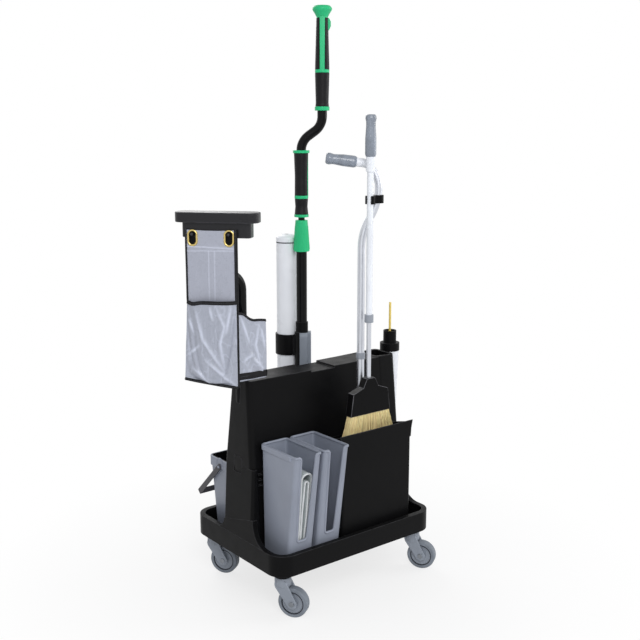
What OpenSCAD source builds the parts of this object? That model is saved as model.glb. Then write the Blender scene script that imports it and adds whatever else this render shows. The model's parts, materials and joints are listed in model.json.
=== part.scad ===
// Janitor cart: a moulded base tray on four swivel casters with a tall central tower.
// The tower parts a front well with two bins and an upright dustpan set from a rear well
// with a bucket and a flat mop. A cranked mast with a handle and a hung bag stands at the
// left end and a brush in its holder hangs on the right end.
// Frame: origin on the floor under the middle of the tray, X along the tray, Y to the rear.

/* [Casters] */
// Diameter of a caster wheel
wheel_d = 75; // [65:1:90]
// Width of a wheel's tyre
tyre_w = 22; // [18:1:28]
// Diameter where the tyre sits on the hub
hub_d = 56; // [46:1:60]
// Diameter of a wheel's axle
axle_d = 8; // [6:0.5:10]
// Diameter of a caster's stem
stem_d = 11; // [9:0.5:13]
// Distance of the axle behind the stem
trail = 28; // [22:1:32]
// Turn of each caster about its stem, from +X
caster_turn = -58; // [-180:1:180]
// Thickness of a fork's arm
arm_t = 5; // [4:0.5:7]
// Height of a fork's crown
crown_h = 21.7; // [16:0.1:28]
// Free height between a wheel and its crown
crown_gap = 3; // [2:0.5:6]
// Distance of each stem from the tray's outer faces
stem_inset = 40; // [36:1:50]
// Diameter of the boss that takes a stem
boss_d = 41; // [36:1:46]
// Height of that boss below the skirt
boss_h = 12; // [8:1:18]

/* [Base tray] */
// Outside length of the tray
tray_l = 508; // [490:1:560]
// Outside width of the tray
tray_w = 384; // [376:1:420]
// Corner radius of the tray
tray_r = 45; // [38:1:60]
// Height of the rim above the skirt's lower edge
rim_h = 53; // [44:1:64]
// Width of the rim
rim_w = 14; // [10:1:16]
// Height of the tray's floor above the skirt's lower edge
floor_h = 16; // [12:1:24]
// Wall of the moulded base and tower
shell_t = 4; // [3:0.5:6]
// Height of the base's spine above the tray's floor
spine_h = 217; // [190:1:240]
// Thickness of the spine at its foot
spine_foot_t = 120; // [116:1:121]
// Thickness of the spine at its top
spine_top_t = 118; // [116:1:120]
// Radius of the sweep from the rim into an end column
sweep_r = 58; // [40:1:60]
// Reach of an end column in front of the middle, at the rim
column_front_foot = 76; // [72:1:80]
// Reach of an end column in front of the middle, at its top
column_front_top = 66; // [63:1:70]
// Reach of an end column behind the middle, at the rim
column_rear_foot = 48; // [47:1:58]
// Reach of an end column behind the middle, at its top
column_rear_top = 56; // [52:1:59]
// Radius of the sweep behind an end column
rear_sweep_r = 28; // [16:1:40]

/* [Tower] */
// Height of the tower above the spine
tower_h = 215; // [180:1:260]
// Length of the tower at its foot
tower_foot_l = 476; // [470:1:484]
// Length of the tower at its top
tower_top_l = 460; // [452:1:470]
// Thickness of the tower at its foot
tower_foot_t = 122; // [116:1:124]
// Thickness of the tower at its top
tower_top_t = 76; // [70:1:90]
// Radius of the tower's upright edges
tower_edge_r = 14; // [8:1:20]
// Thickness of the tower's roof
roof_t = 9; // [7:1:14]
// Length of the shallow notch in the roof
notch_l = 75; // [50:1:110]
// Depth of that notch
notch_d = 5; // [3:0.5:6]
// Length of the tool column at the right end
column_l = 66; // [58:1:74]
// Height of the tool column above the roof
column_rise = 2; // [1:1:24]
// Depth of the tool column's pocket
pocket_d = 90; // [60:1:120]
// Width of a latch between base and tower
latch_w = 34; // [24:1:44]
// Height of a latch
latch_h = 40; // [30:1:50]
// Height of the pole clip above the foot of the tower
pole_clip_z = 62; // [50:1:68]

/* [Bins] */
// Height of a bin
bin_h = 280; // [240:1:300]
// Width of a bin over its rim
bin_w = 82; // [76:1:83]
// Width of a bin's floor
bin_floor_w = 72; // [64:1:74]
// Depth of a bin over its rim
bin_depth = 143; // [130:1:150]
// Depth of a bin's floor
bin_floor_depth = 102; // [90:1:106]
// Wall of a bin
bin_t = 2.6; // [2:0.1:4]
// Width of the slot in a bin's front, at its top
slot_top_w = 45; // [36:1:50]
// Width of that slot at its foot
slot_foot_w = 31; // [24:1:34]
// Height of the slot's foot above the bin's floor
slot_z = 58; // [40:1:90]
// Distance between the middles of the two bins
bin_pitch = 85; // [84:0.5:90]
// Place of the left bin's middle along X
bin_x = -174.5; // [-176:0.5:-170]
// Height of the folded cloth in the left bin
cloth_h = 226; // [180:1:240]
// Depth of the folded cloth
cloth_depth = 90; // [70:1:96]

/* [Bucket] */
// Height of the bucket
bucket_h = 190; // [160:1:205]
// Length of the bucket's top along X
bucket_l = 120; // [110:1:124]
// Width of the bucket's top along Y
bucket_w = 113; // [104:1:113]
// Draft of the bucket's walls, per side
bucket_draft = 9.5; // [9:0.5:16]
// Wall of the bucket
bucket_t = 2.5; // [2:0.1:4]
// Place of the bucket's middle along X
bucket_x = -155; // [-157:0.5:-150]
// Height of the dark band inside the bucket's mouth
band_h = 42; // [20:1:60]
// Height of the collar round the bucket's rim
rim_collar_h = 26; // [24:1:34]
// Reach of the bail from its pivots
bail_reach = 142; // [130:1:150]
// Hang of the bail, from straight down
bail_hang = 46; // [40:1:60]

/* [Dustpan] */
// Width of the dustpan
pan_w = 232; // [200:1:236]
// Height of the dustpan's floor panel as it stands
pan_h = 288; // [250:1:310]
// Depth of the dustpan
pan_depth = 62; // [56:1:64]
// Wall of the dustpan
pan_t = 3; // [2.5:0.1:4]
// Place of the dustpan's middle along X
pan_x = 76; // [74:0.5:80]
// Diameter of the dustpan's handle tube
pan_tube_d = 19; // [17:0.5:22]
// Height of the tube's straight run above the tray's floor
pan_tube_h = 738; // [700:1:780]
// Bend radius of the tube's bow
bow_r = 144; // [120:1:160]
// Turn of the bow away from upright
bow_turn = 31; // [24:0.5:34]
// Bend radius of the tube's crook above the bow
crook_r = 67; // [50:1:90]
// Length of the dustpan's grip
pan_grip_l = 76; // [60:1:100]

/* [Broom] */
// Place of the broom behind the pan's front panel
broom_inset = 35; // [32:0.5:38]
// Width of the broom's head
broom_w = 131; // [116:1:150]
// Thickness of the broom's head
broom_t = 22; // [18:1:28]
// Length of the bristles
bristle_l = 76; // [60:1:84]
// Flare of the bristles, per side
bristle_flare = 24; // [12:1:28]
// Bristles in a row
bristle_count = 62; // [60:1:80]
// Rows of bristles
bristle_rows = 5; // [5:1:6]
// Diameter of the broom's upper tube
broom_tube_d = 16; // [14:0.5:20]
// Diameter of the broom's lower tube
broom_rod_d = 12; // [10:0.5:14]
// Height of the bristles' tips above the tray's floor
tip_rise = 242; // [220:1:260]
// Height of the broom's sleeve above the bristles' tips
broom_sleeve_rise = 313; // [290:1:330]
// Height of the broom's top above the middle of its clip
broom_rise = 203.7; // [190:0.1:230]
// Length of the broom's grip
broom_grip_l = 100; // [80:1:120]

/* [Mop] */
// Place of the mop's pole along X
pole_x = 48; // [40:1:60]
// Place of the mop's pole along Y
pole_y = 113; // [111:0.5:116]
// Turn of the pole's bend about the upright, from +X
pole_turn = -38; // [-60:1:-20]
// Diameter of the mop's lower tube
pole_d = 28; // [24:0.5:30]
// Diameter of the mop's bent tube
neck_d = 25; // [20:0.5:26]
// Height of the collar's foot above the tray's floor
collar_z = 712; // [700:1:740]
// Height of the twist collar
collar_h = 82; // [70:1:90]
// Length of the middle grip
mid_grip_h = 172; // [140:1:190]
// Bend radius of the bent tube
neck_r = 46; // [40:1:56]
// Turn of the bent tube away from upright
neck_turn = 54; // [40:1:60]
// Straight run between the two bends
neck_run = 20; // [10:1:40]
// Length of the top grip
top_grip_h = 258; // [220:1:280]
// Height of the cradle's foot above the tray's floor
cradle_rise = 385; // [360:1:400]
// Diameter of the liquid bottle
bottle_d = 56; // [50:1:58]
// Height of the liquid bottle
bottle_h = 440; // [380:1:460]
// Length of the mop's pad
pad_l = 270; // [220:1:280]
// Width of the mop's pad
pad_w = 90; // [70:1:94]

/* [Mast and bag] */
// Diameter of the mast's tube
mast_d = 26; // [22:0.5:28]
// Diameter of the spigot in the tower's socket
spigot_d = 19; // [16:0.5:20]
// Height of the mast's upright run above the tower's roof
mast_h = 218; // [200:1:240]
// Bend radius of the mast's crank
crank_r = 40; // [34:1:46]
// Turn of the crank away from upright
crank_turn = 58; // [50:1:62]
// Straight run between the crank's two bends
crank_run = 28; // [20:1:45]
// Straight length of the mast above its crank, up to the handle's block
mast_top_run = 48; // [20:1:70]
// Turn of the handle about the upright, from +X
handle_turn = -50; // [-60:1:-40]
// Length of the handle's plate
handle_l = 202; // [180:1:230]
// Depth of the handle's plate
handle_w = 56; // [48:1:66]
// Thickness of the handle's plate
handle_t = 24; // [18:1:28]
// Height of the hook block below the handle
block_h = 35; // [30:1:44]
// Width of the bag's panel
bag_w = 120; // [100:1:130]
// Height of the bag's panel
bag_h = 372; // [330:1:378]
// Height of the bag's front pocket
bag_pocket_h = 204; // [150:1:220]
// Bulge of the bag's front pocket
bag_pocket_t = 24; // [16:1:30]
// Length of the sack's side behind the bag's panel
bag_wing_l = 88; // [70:1:90]
// Height of that sack
bag_wing_h = 164; // [110:1:180]
// Distance between the bag's two eyelets
eyelet_pitch = 88; // [76:1:92]

/* [Brush] */
// Diameter of the brush holder's mouth
holder_d = 51; // [48:1:56]
// Diameter of the brush holder's foot
holder_foot_d = 32; // [28:1:40]
// Height of the brush holder
holder_h = 250; // [220:1:280]
// Diameter of the holder's neck
neck_cap_d = 36; // [32:1:44]
// Diameter of the brush's stick
stick_d = 6.5; // [4:0.5:8]
// Height of the stick above the neck
stick_rise = 78; // [50:1:100]

/* [Hidden] */
$fn = 48;
// Facets of shapes that are blended between two outlines
blend_fn = 32;
// Sheet of material that a blend starts or ends with
skin = 0.01;
// Overrun of a cut past the face that it opens
over = 1;
// Radial play of a turning or sliding fit
run_fit = 0.05;
// Thinning of a tube where it is bent
bend_slim = 0.2;
// Play between pieces that only rest beside each other
rest_gap = 0.3;
// Height between a piece that stands in the tray and the tray's floor
stand_gap = 0.3;

black = [0.13, 0.13, 0.14];
soft_black = [0.2, 0.2, 0.22];
bin_grey = [0.56, 0.58, 0.63];
caster_grey = [0.62, 0.65, 0.69];
tyre_grey = [0.55, 0.58, 0.62];
steel = [0.8, 0.81, 0.83];
aluminium = [0.8, 0.83, 0.87];
grip_grey = [0.47, 0.5, 0.54];
green = [0.18, 0.72, 0.46];
bottle_white = [0.88, 0.9, 0.94];
bag_grey = [0.69, 0.7, 0.74];
brass = [0.75, 0.63, 0.28];
straw = [0.9, 0.82, 0.6];
yellow = [0.87, 0.74, 0.35];
cloth_grey = [0.8, 0.82, 0.84];

// Heights that stack up from the floor
crown_z = wheel_d + crown_gap;
boss_z = crown_z + crown_h + rest_gap;
skirt_z = boss_z + boss_h;
rim_z = skirt_z + rim_h;
floor_z = skirt_z + floor_h;
stand_z = floor_z + stand_gap;
spine_z = floor_z + spine_h;
tower_z = spine_z + tower_h;

// Wall between the two halves of the tray at a height, half its thickness
function blend(a, b, t) = a + (b - a) * t;
function tower_half_t(z) = blend(tower_foot_t, tower_top_t, (z - spine_z) / tower_h) / 2;

// Flat outline of a rectangle with round corners
module round_rect(l, w, r) {
  square([l - 2 * r, w], center = true);
  square([l, w - 2 * r], center = true);
  for (x = [-1, 1], y = [-1, 1])
    translate([x * (l / 2 - r), y * (w / 2 - r)])
      circle(r = r);
}

// Solid blended between two round rectangles at two heights, each [length, width, radius, x, y]
module blended_box(foot, top, z0, z1) {
  hull() {
    translate([foot[3], foot[4], z0])
      linear_extrude(skin)
        round_rect(foot[0], foot[1], foot[2], $fn = blend_fn);
    translate([top[3], top[4], z1 - skin])
      linear_extrude(skin)
        round_rect(top[0], top[1], top[2], $fn = blend_fn);
  }
}

// Flat outline of a bar between two circles, with its sides tangent to both
module tangent_bar(p, r, q, s) {
  d = norm(q - p);
  a = atan2(q[1] - p[1], q[0] - p[0]);
  lean = acos((r - s) / d);
  polygon([
    p + r * [cos(a + lean), sin(a + lean)],
    q + s * [cos(a + lean), sin(a + lean)],
    q + s * [cos(a - lean), sin(a - lean)],
    p + r * [cos(a - lean), sin(a - lean)],
  ]);
  translate(p) circle(r = r - bend_slim);
  translate(q) circle(r = s);
}

// Round bar that starts upright at the origin and bends towards -X
module bend_left(radius, turn, d) {
  translate([-radius, 0, 0])
    rotate([90, 0, 0])
      rotate_extrude(angle = turn)
        translate([radius, 0])
          circle(d = d);
}

// The same bar bending towards +X
module bend_right(radius, turn, d) {
  mirror([1, 0, 0]) bend_left(radius, turn, d);
}

// Step along X and Z that a bend makes, and the step of a straight run at its end
function bend_step(radius, turn) = [radius * (1 - cos(turn)), 0, radius * sin(turn)];
function run_step(run, turn) = [run * sin(turn), 0, run * cos(turn)];

// Turned body from radii and heights, each point [radius, height]
module turned(profile) {
  rotate_extrude() polygon(profile);
}

// Casters
stem_x = tray_l / 2 - stem_inset;
stem_y = tray_w / 2 - stem_inset;
arm_gap = 1.5;
arm_y = tyre_w / 2 + arm_gap;
fork_w = 2 * (arm_y + arm_t);
crown_lip = 3;
crown_d = fork_w + 2 * crown_lip;
eye_r = 13;
shoulder_r = 16;
shoulder_z = 5;
stem_reach = 16;
head_t = 2;
head_d = axle_d + 5;
hub_web_t = 16;
hub_rim_t = 6;
hub_boss_d = axle_d + 10;
tyre_edge_r = (wheel_d - hub_d) / 5;
axle_z = wheel_d / 2;

module at_caster(x, y) {
  translate([x * stem_x, y * stem_y, 0])
    rotate([0, 0, caster_turn])
      children();
}

// Moves a piece turned about Z onto the wheel's axle
module on_axle() {
  translate([trail, 0, axle_z])
    rotate([90, 0, 0])
      children();
}

module caster_fork(x, y) {
  color(caster_grey)
    at_caster(x, y) {
      difference() {
        union() {
          translate([0, 0, crown_z]) cylinder(d = crown_d, h = crown_h);
          for (side = [-1, 1])
            translate([0, side * (arm_y + arm_t / 2) + arm_t / 2, 0])
              rotate([90, 0, 0])
                linear_extrude(arm_t)
                  tangent_bar([0, crown_z + shoulder_z], shoulder_r, [trail, axle_z], eye_r);
        }
        translate([0, 0, crown_z + crown_h - stem_reach])
          cylinder(d = stem_d + 2 * run_fit, h = stem_reach + over);
        on_axle() cylinder(d = axle_d, h = fork_w + 2 * over, center = true);
      }
    }
}

module wheel_axle(x, y) {
  color(steel)
    at_caster(x, y)
      on_axle() {
        cylinder(d = axle_d, h = fork_w, center = true);
        for (side = [-1, 1])
          translate([0, 0, side * (fork_w + head_t) / 2])
            cylinder(d = head_d, h = head_t, center = true);
      }
}

module wheel_hub(x, y) {
  bore_r = axle_d / 2 + run_fit;
  boss_half = arm_y - rest_gap;
  rim_half = tyre_w / 2 - head_t;
  color(caster_grey)
    at_caster(x, y)
      on_axle()
        turned([
          [bore_r, -boss_half], [hub_boss_d / 2, -boss_half],
          [hub_boss_d / 2, -hub_web_t / 2], [hub_d / 2 - hub_rim_t, -hub_web_t / 2],
          [hub_d / 2 - hub_rim_t, -rim_half], [hub_d / 2, -rim_half],
          [hub_d / 2, rim_half], [hub_d / 2 - hub_rim_t, rim_half],
          [hub_d / 2 - hub_rim_t, hub_web_t / 2], [hub_boss_d / 2, hub_web_t / 2],
          [hub_boss_d / 2, boss_half], [bore_r, boss_half],
        ]);
}

module wheel_tyre(x, y) {
  tread_t = (wheel_d - hub_d) / 2;
  color(tyre_grey)
    at_caster(x, y)
      on_axle()
        rotate_extrude()
          translate([hub_d / 2, -tyre_w / 2]) {
            square([tread_t - tyre_edge_r, tyre_w]);
            translate([0, tyre_edge_r])
              square([tread_t, tyre_w - 2 * tyre_edge_r]);
            for (edge = [tyre_edge_r, tyre_w - tyre_edge_r])
              translate([tread_t - tyre_edge_r, edge])
                circle(r = tyre_edge_r);
          }
}

module caster_stems() {
  color(steel)
    for (x = [-1, 1], y = [-1, 1])
      translate([x * stem_x, y * stem_y, crown_z + crown_h - stem_reach + rest_gap])
        cylinder(d = stem_d, h = stem_reach + boss_h + floor_h - shell_t);
}

// Base tray
tray_half_l = tray_l / 2;
// The end columns start this far inside the rim's outer face
column_set = 0.6;
column_edge_r = 8;
column_in_l = 2 * 222;
rib_t = 2;
rib_l = 12;
rib_pitch = 14;
rib_count = 3;

// Upright outline of an end wall: the rim's line swept up into the column on both sides
module end_sweep() {
  steps = 8;
  turns = [for (i = [0:steps]) 90 * i / steps];
  front = [for (t = turns) [-column_front_foot, 0] + sweep_r * [sin(t) - 1, 1 - cos(t)]];
  rear = [for (t = turns) [column_rear_foot, 0] + rear_sweep_r * [1 - cos(t), 1 - sin(t)]];
  polygon(concat(
    [[-column_front_foot - sweep_r, -rim_w / 2]], front,
    rear, [[column_rear_foot + rear_sweep_r, -rim_w / 2]]
  ));
}

module base_tray() {
  column_foot_x = tray_half_l - column_set;
  column_top_x = tower_foot_l / 2;
  column_in = column_in_l / 2;
  lean = atan((column_foot_x - column_top_x) / (spine_z - rim_z));
  color(black)
    difference() {
      union() {
        difference() {
          translate([0, 0, skirt_z])
            linear_extrude(rim_h)
              round_rect(tray_l, tray_w, tray_r);
          translate([0, 0, floor_z])
            linear_extrude(rim_h)
              round_rect(tray_l - 2 * rim_w, tray_w - 2 * rim_w, tray_r - rim_w);
          translate([0, 0, skirt_z - over])
            linear_extrude(floor_h - shell_t + over)
              round_rect(tray_l - 2 * rim_w, tray_w - 2 * rim_w, tray_r - rim_w);
        }
        blended_box(
          [tower_foot_l, spine_foot_t, tower_edge_r, 0, 0],
          [tower_foot_l, spine_top_t, tower_edge_r, 0, 0],
          floor_z - shell_t, spine_z
        );
        for (side = [-1, 1]) {
          blended_box(
            [column_foot_x - column_in, column_front_foot + column_rear_foot, column_edge_r,
              side * (column_foot_x + column_in) / 2, (column_rear_foot - column_front_foot) / 2],
            [column_top_x - column_in, column_front_top + column_rear_top, column_edge_r - over,
              side * (column_top_x + column_in) / 2, (column_rear_top - column_front_top) / 2],
            rim_z - rim_w / 2, spine_z
          );
          translate([side * column_foot_x, 0, rim_z])
            rotate([0, -side * lean, 0])
              translate([(side < 0) ? 0 : -rim_w, 0, 0])
                rotate([90, 0, 90])
                  linear_extrude(rim_w)
                    end_sweep();
          for (i = [0:rib_count - 1])
            translate([side * (column_in - rib_l / 2), -column_front_top + rib_l / 2,
                spine_z - rib_pitch * (i + 1)])
              cube([rib_l, rib_l, rib_t], center = true);
        }
        for (x = [-1, 1], y = [-1, 1])
          translate([x * stem_x, y * stem_y, boss_z])
            cylinder(d = boss_d, h = boss_h + floor_h - shell_t / 2);
      }
      blended_box(
        [tower_foot_l - 2 * shell_t, spine_foot_t - 2 * shell_t, tower_edge_r - shell_t, 0, 0],
        [tower_foot_l - 2 * shell_t, spine_top_t - 2 * shell_t, tower_edge_r - shell_t, 0, 0],
        skirt_z - over, spine_z - shell_t
      );
      for (x = [-1, 1], y = [-1, 1])
        translate([x * stem_x, y * stem_y, boss_z - over])
          cylinder(d = stem_d, h = over + boss_h + floor_h - shell_t);
      for (side = [-1, 1])
        translate([side * tower_foot_l / 2, 0, spine_z])
          cube([2 * latch_t, latch_w + 2 * rest_gap, latch_h], center = true);
    }
}

// Tower
latch_t = 3;
socket_x = -218;
socket_y = 4;
socket_wall = 7;
socket_rise = 12;
spigot_l = 60;
clip_t = 4;
clip_h = 24;
clip_gap = 14;
clip_arm_w = 18;
hanger_y = 24;
hanger_w = 40;
hanger_h = 50;
hanger_top_z = spine_z + 125;
hanger_z = hanger_top_z - hanger_h;
hanger_l = 19;
tongue_t = 6;
tongue_w = 30;
hanger_wall = 3;
// The tool column stands this far out of the tower's end
column_out = 17;
column_x = tower_top_l / 2 + column_out - column_l / 2;
column_foot_z = spine_z + latch_h / 2 + 5;
hanger_face_x = column_x + column_l / 2;
column_wall = 8;

module tower() {
  pole_z = spine_z + pole_clip_z;
  clip_r = pole_d / 2 + rest_gap;
  color(black)
    difference() {
      union() {
        difference() {
          blended_box(
            [tower_foot_l, tower_foot_t, tower_edge_r, 0, 0],
            [tower_top_l, tower_top_t, tower_edge_r, 0, 0],
            spine_z, tower_z
          );
          blended_box(
            [tower_foot_l - 2 * shell_t, tower_foot_t - 2 * shell_t, tower_edge_r - shell_t, 0, 0],
            [tower_top_l - 2 * shell_t, tower_top_t - 2 * shell_t, tower_edge_r - shell_t, 0, 0],
            spine_z - skin, tower_z - roof_t
          );
          translate([0, 0, tower_z])
            cube([notch_l, tower_top_t + 2 * over, 2 * notch_d], center = true);
        }
        blended_box(
          [column_l, 2 * tower_half_t(column_foot_z) + 2 * over, tower_edge_r, column_x, 0],
          [column_l, tower_top_t + 2 * over, tower_edge_r, column_x, 0],
          column_foot_z, tower_z + column_rise
        );
        translate([socket_x, socket_y, tower_z - spigot_l])
          cylinder(d = spigot_d + 2 * socket_wall, h = spigot_l + socket_rise);
        translate([pole_x - clip_arm_w / 2, tower_half_t(pole_z) - shell_t / 2, pole_z - clip_h / 2])
          cube([clip_arm_w, pole_y - clip_r - tower_half_t(pole_z), clip_h]);
        translate([pole_x, pole_y, pole_z - clip_h / 2])
          cylinder(r = clip_r + clip_t, h = clip_h);
        translate([hanger_face_x - shell_t, hanger_y - hanger_w / 2, hanger_z])
          cube([hanger_l, hanger_w, hanger_h]);
      }
      translate([socket_x, socket_y, tower_z - spigot_l + shell_t])
        cylinder(d = spigot_d + 2 * run_fit, h = spigot_l + socket_rise);
      translate([column_x, 0, tower_z + column_rise - pocket_d + shell_t])
        linear_extrude(pocket_d)
          round_rect(column_l - 2 * column_wall, tower_top_t - 2 * column_wall, tower_edge_r / 2);
      translate([column_x - column_l / 2 - over, -tower_top_t / 2 + shell_t, column_foot_z + shell_t])
        cube([column_l + over - shell_t, tower_top_t - 2 * shell_t,
          tower_z + column_rise - pocket_d - column_foot_z - shell_t]);
      translate([pole_x, pole_y, pole_z - clip_h])
        cylinder(r = clip_r, h = 2 * clip_h);
      translate([pole_x - clip_gap / 2, pole_y, pole_z - clip_h])
        cube([clip_gap, clip_r + clip_t + over, 2 * clip_h]);
      translate([hanger_x, hanger_y, hanger_top_z + hanger_wall])
        cube([tongue_t + 2 * rest_gap, tongue_w + 2 * rest_gap, 2 * hanger_h], center = true);
      for (side = [-1, 1])
        translate([side * tower_foot_l / 2, 0, spine_z])
          cube([2 * latch_t, latch_w + 2 * rest_gap, latch_h], center = true);
    }
}

module tower_latches() {
  color(soft_black)
    for (side = [-1, 1])
      translate([side * (tower_foot_l / 2 - latch_t / 2), 0, spine_z])
        cube([latch_t, latch_w, latch_h - 2 * rest_gap], center = true);
}

// Bins
bin_rim_z = stand_z + bin_h;
bin_back_y = -tower_foot_t / 2 - 1;
bin_r = 9;
bin_flange = 3;
bin_flange_h = 12;
bin_back_lean = 4;
cloth_t = 5;
cloth_bend_r = 9;

// Bin's outline at its floor and at its top, shrunk by a margin, each [length, width, radius, x, y]
function bin_foot(m) = [bin_floor_w - 2 * m, bin_floor_depth - 2 * m, bin_r - m, 0,
  bin_back_y - bin_back_lean - bin_floor_depth / 2];
function bin_top(m) = [bin_w - 2 * bin_flange - 2 * m, bin_depth - bin_flange - 2 * m, bin_r - m, 0,
  bin_back_y - bin_flange - (bin_depth - bin_flange) / 2];

// Upright outline of the slot in a bin's front
module bin_slot() {
  foot_r = slot_foot_w / 2;
  top_half = slot_top_w / 2;
  polygon([
    [-foot_r, slot_z + foot_r], [foot_r, slot_z + foot_r],
    [top_half, bin_h + over], [-top_half, bin_h + over],
  ]);
  translate([0, slot_z + foot_r]) circle(r = foot_r);
}

module bin(x) {
  front_reach = bin_depth;
  color(bin_grey)
    translate([x, 0, 0])
      difference() {
        union() {
          blended_box(bin_foot(0), bin_top(0), stand_z, bin_rim_z);
          intersection() {
            translate([0, bin_back_y - bin_depth / 2, bin_rim_z - bin_flange_h])
              linear_extrude(bin_flange_h)
                round_rect(bin_w, bin_depth, bin_r + bin_flange);
            translate([-bin_w, bin_back_y - bin_depth * 0.86, bin_rim_z - bin_flange_h])
              cube([2 * bin_w, bin_depth, bin_flange_h]);
          }
        }
        blended_box(
          bin_foot(bin_t), bin_top(bin_t),
          stand_z + bin_t, bin_rim_z + skin
        );
        translate([0, bin_back_y - bin_floor_depth / 2, stand_z])
          rotate([90, 0, 0])
            linear_extrude(front_reach)
              bin_slot();
      }
}

module bin_left() {
  bin(bin_x);
}

module bin_right() {
  bin(bin_x + bin_pitch);
}

// Cloth folded over twice and stood on edge: nested arches with round folds at the top
module folded_cloth() {
  outer_w = 4 * cloth_t + 4 * cloth_bend_r / 3;
  color(cloth_grey)
    translate([bin_x, bin_back_y - bin_back_lean - bin_t - rest_gap - over, stand_z + bin_t])
      rotate([90, 0, 0])
        linear_extrude(cloth_depth)
          difference() {
            union() {
              translate([-outer_w / 2, 0])
                square([outer_w, cloth_h - outer_w / 2]);
              translate([0, cloth_h - outer_w / 2])
                circle(d = outer_w);
              translate([-outer_w / 2 - cloth_t, 0])
                square([cloth_t + over, cloth_h * 0.7]);
              translate([-outer_w / 2 - cloth_t / 2 + over / 2, cloth_h * 0.7])
                circle(d = cloth_t + over);
            }
            translate([-over / 2, -over])
              square([over, cloth_h - outer_w / 2]);
            for (side = [-1, 1])
              translate([side * (cloth_t + over) - over / 2, -over])
                square([over, cloth_h - outer_w]);
          }
}

// Bucket
bucket_y = tower_foot_t / 2 + 2 + bucket_w / 2;
bucket_r = 14;
bucket_z = stand_z + bucket_h;
bucket_band_t = 2;
pivot_z = bucket_z - 19;
ear_disc_r = 14;
ear_disc_z = bucket_z - 10;
ear_disc_out = 0.5;
pin_d = 7;
bail_t = 3;
bail_w = 15;
bail_gap = 1;
pin_l = bucket_band_t + bail_gap + bail_t + 2;

// Bucket's outline at a share of its height, shrunk by a margin
function bucket_ring(t, m) = [
  bucket_l - 2 * bucket_band_t - 2 * bucket_draft * (1 - t) - 2 * m,
  bucket_w - 2 * bucket_band_t - 2 * bucket_draft * (1 - t) - 2 * m,
  bucket_r - m, bucket_x, bucket_y,
];

module bucket() {
  color(bin_grey)
    difference() {
      union() {
        blended_box(bucket_ring(0, 0), bucket_ring(1, 0), stand_z, bucket_z);
        translate([bucket_x, bucket_y, bucket_z - rim_collar_h])
          linear_extrude(rim_collar_h)
            round_rect(bucket_l, bucket_w, bucket_r + bucket_band_t);
        for (side = [-1, 1]) {
          translate([bucket_x + side * (bucket_l - bucket_band_t + ear_disc_out) / 2, bucket_y, ear_disc_z])
            rotate([0, 90, 0])
              cylinder(r = ear_disc_r, h = bucket_band_t + ear_disc_out, center = true);
          translate([bucket_x + side * (bucket_l + pin_l - bucket_band_t) / 2, bucket_y, pivot_z])
            rotate([0, 90, 0])
              cylinder(d = pin_d, h = pin_l, center = true);
        }
      }
      blended_box(
        bucket_ring(0, bucket_t), bucket_ring(1, bucket_t),
        stand_z + bucket_t, bucket_z + skin
      );
    }
}

module bucket_band() {
  band_foot = 1 - band_h / bucket_h;
  color(black)
    difference() {
      blended_box(
        bucket_ring(band_foot, bucket_t + rest_gap), bucket_ring(1, bucket_t + rest_gap),
        bucket_z - band_h, bucket_z
      );
      blended_box(
        bucket_ring(band_foot, bucket_t + bucket_band_t), bucket_ring(1, bucket_t + bucket_band_t),
        bucket_z - band_h - over, bucket_z + over
      );
    }
}

// Bail: two flat arms on the pins, joined by a flat bar, hung over the rear wall
module bucket_bail() {
  arm_x = bucket_l / 2 + bail_gap;
  color(soft_black)
    translate([bucket_x, bucket_y, pivot_z])
      rotate([bail_hang, 0, 0]) {
        for (side = [-1, 1])
          translate([side * (arm_x + bail_t / 2), 0, 0])
            rotate([0, 90, 0])
              difference() {
                linear_extrude(bail_t, center = true) {
                  circle(d = bail_w);
                  translate([0, -bail_w / 2])
                    square([bail_reach, bail_w]);
                }
                cylinder(d = pin_d + 2 * run_fit, h = bail_t + 2 * over, center = true);
              }
        translate([0, 0, -bail_reach + bail_t / 2])
          cube([2 * (arm_x + bail_t), bail_w, bail_t], center = true);
      }
}

// Dustpan set
pan_front_y = -165;
pan_y = pan_front_y + pan_depth / 2;
pan_back_y = pan_front_y + pan_depth;
pan_r = 8;
pan_back_h = 270;
pan_side_drop = 4;
pan_tube_x = 80;
pan_tube_gap = 12;
pan_tube_y = pan_back_y + pan_tube_gap;
pan_socket_w = 34;
pan_socket_z = 70;
pan_socket_h = 120;
pan_tube_foot = 90;
ear_w = 16;
ear_h = 22;
ear_out = 6;
ear_waist = 1.5;
sleeve_t = 2.2;
pan_sleeve_z = 454;
pan_sleeve_h = 16;
bow_plane = pole_turn;
crook_turn = 59;
grip_tilt = 7;
elbow_r = 22;
elbow_l = 14;
elbow_d = 22;
grip_d = 29;
grip_waist = 2;
grip_edge = 6;

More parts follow.
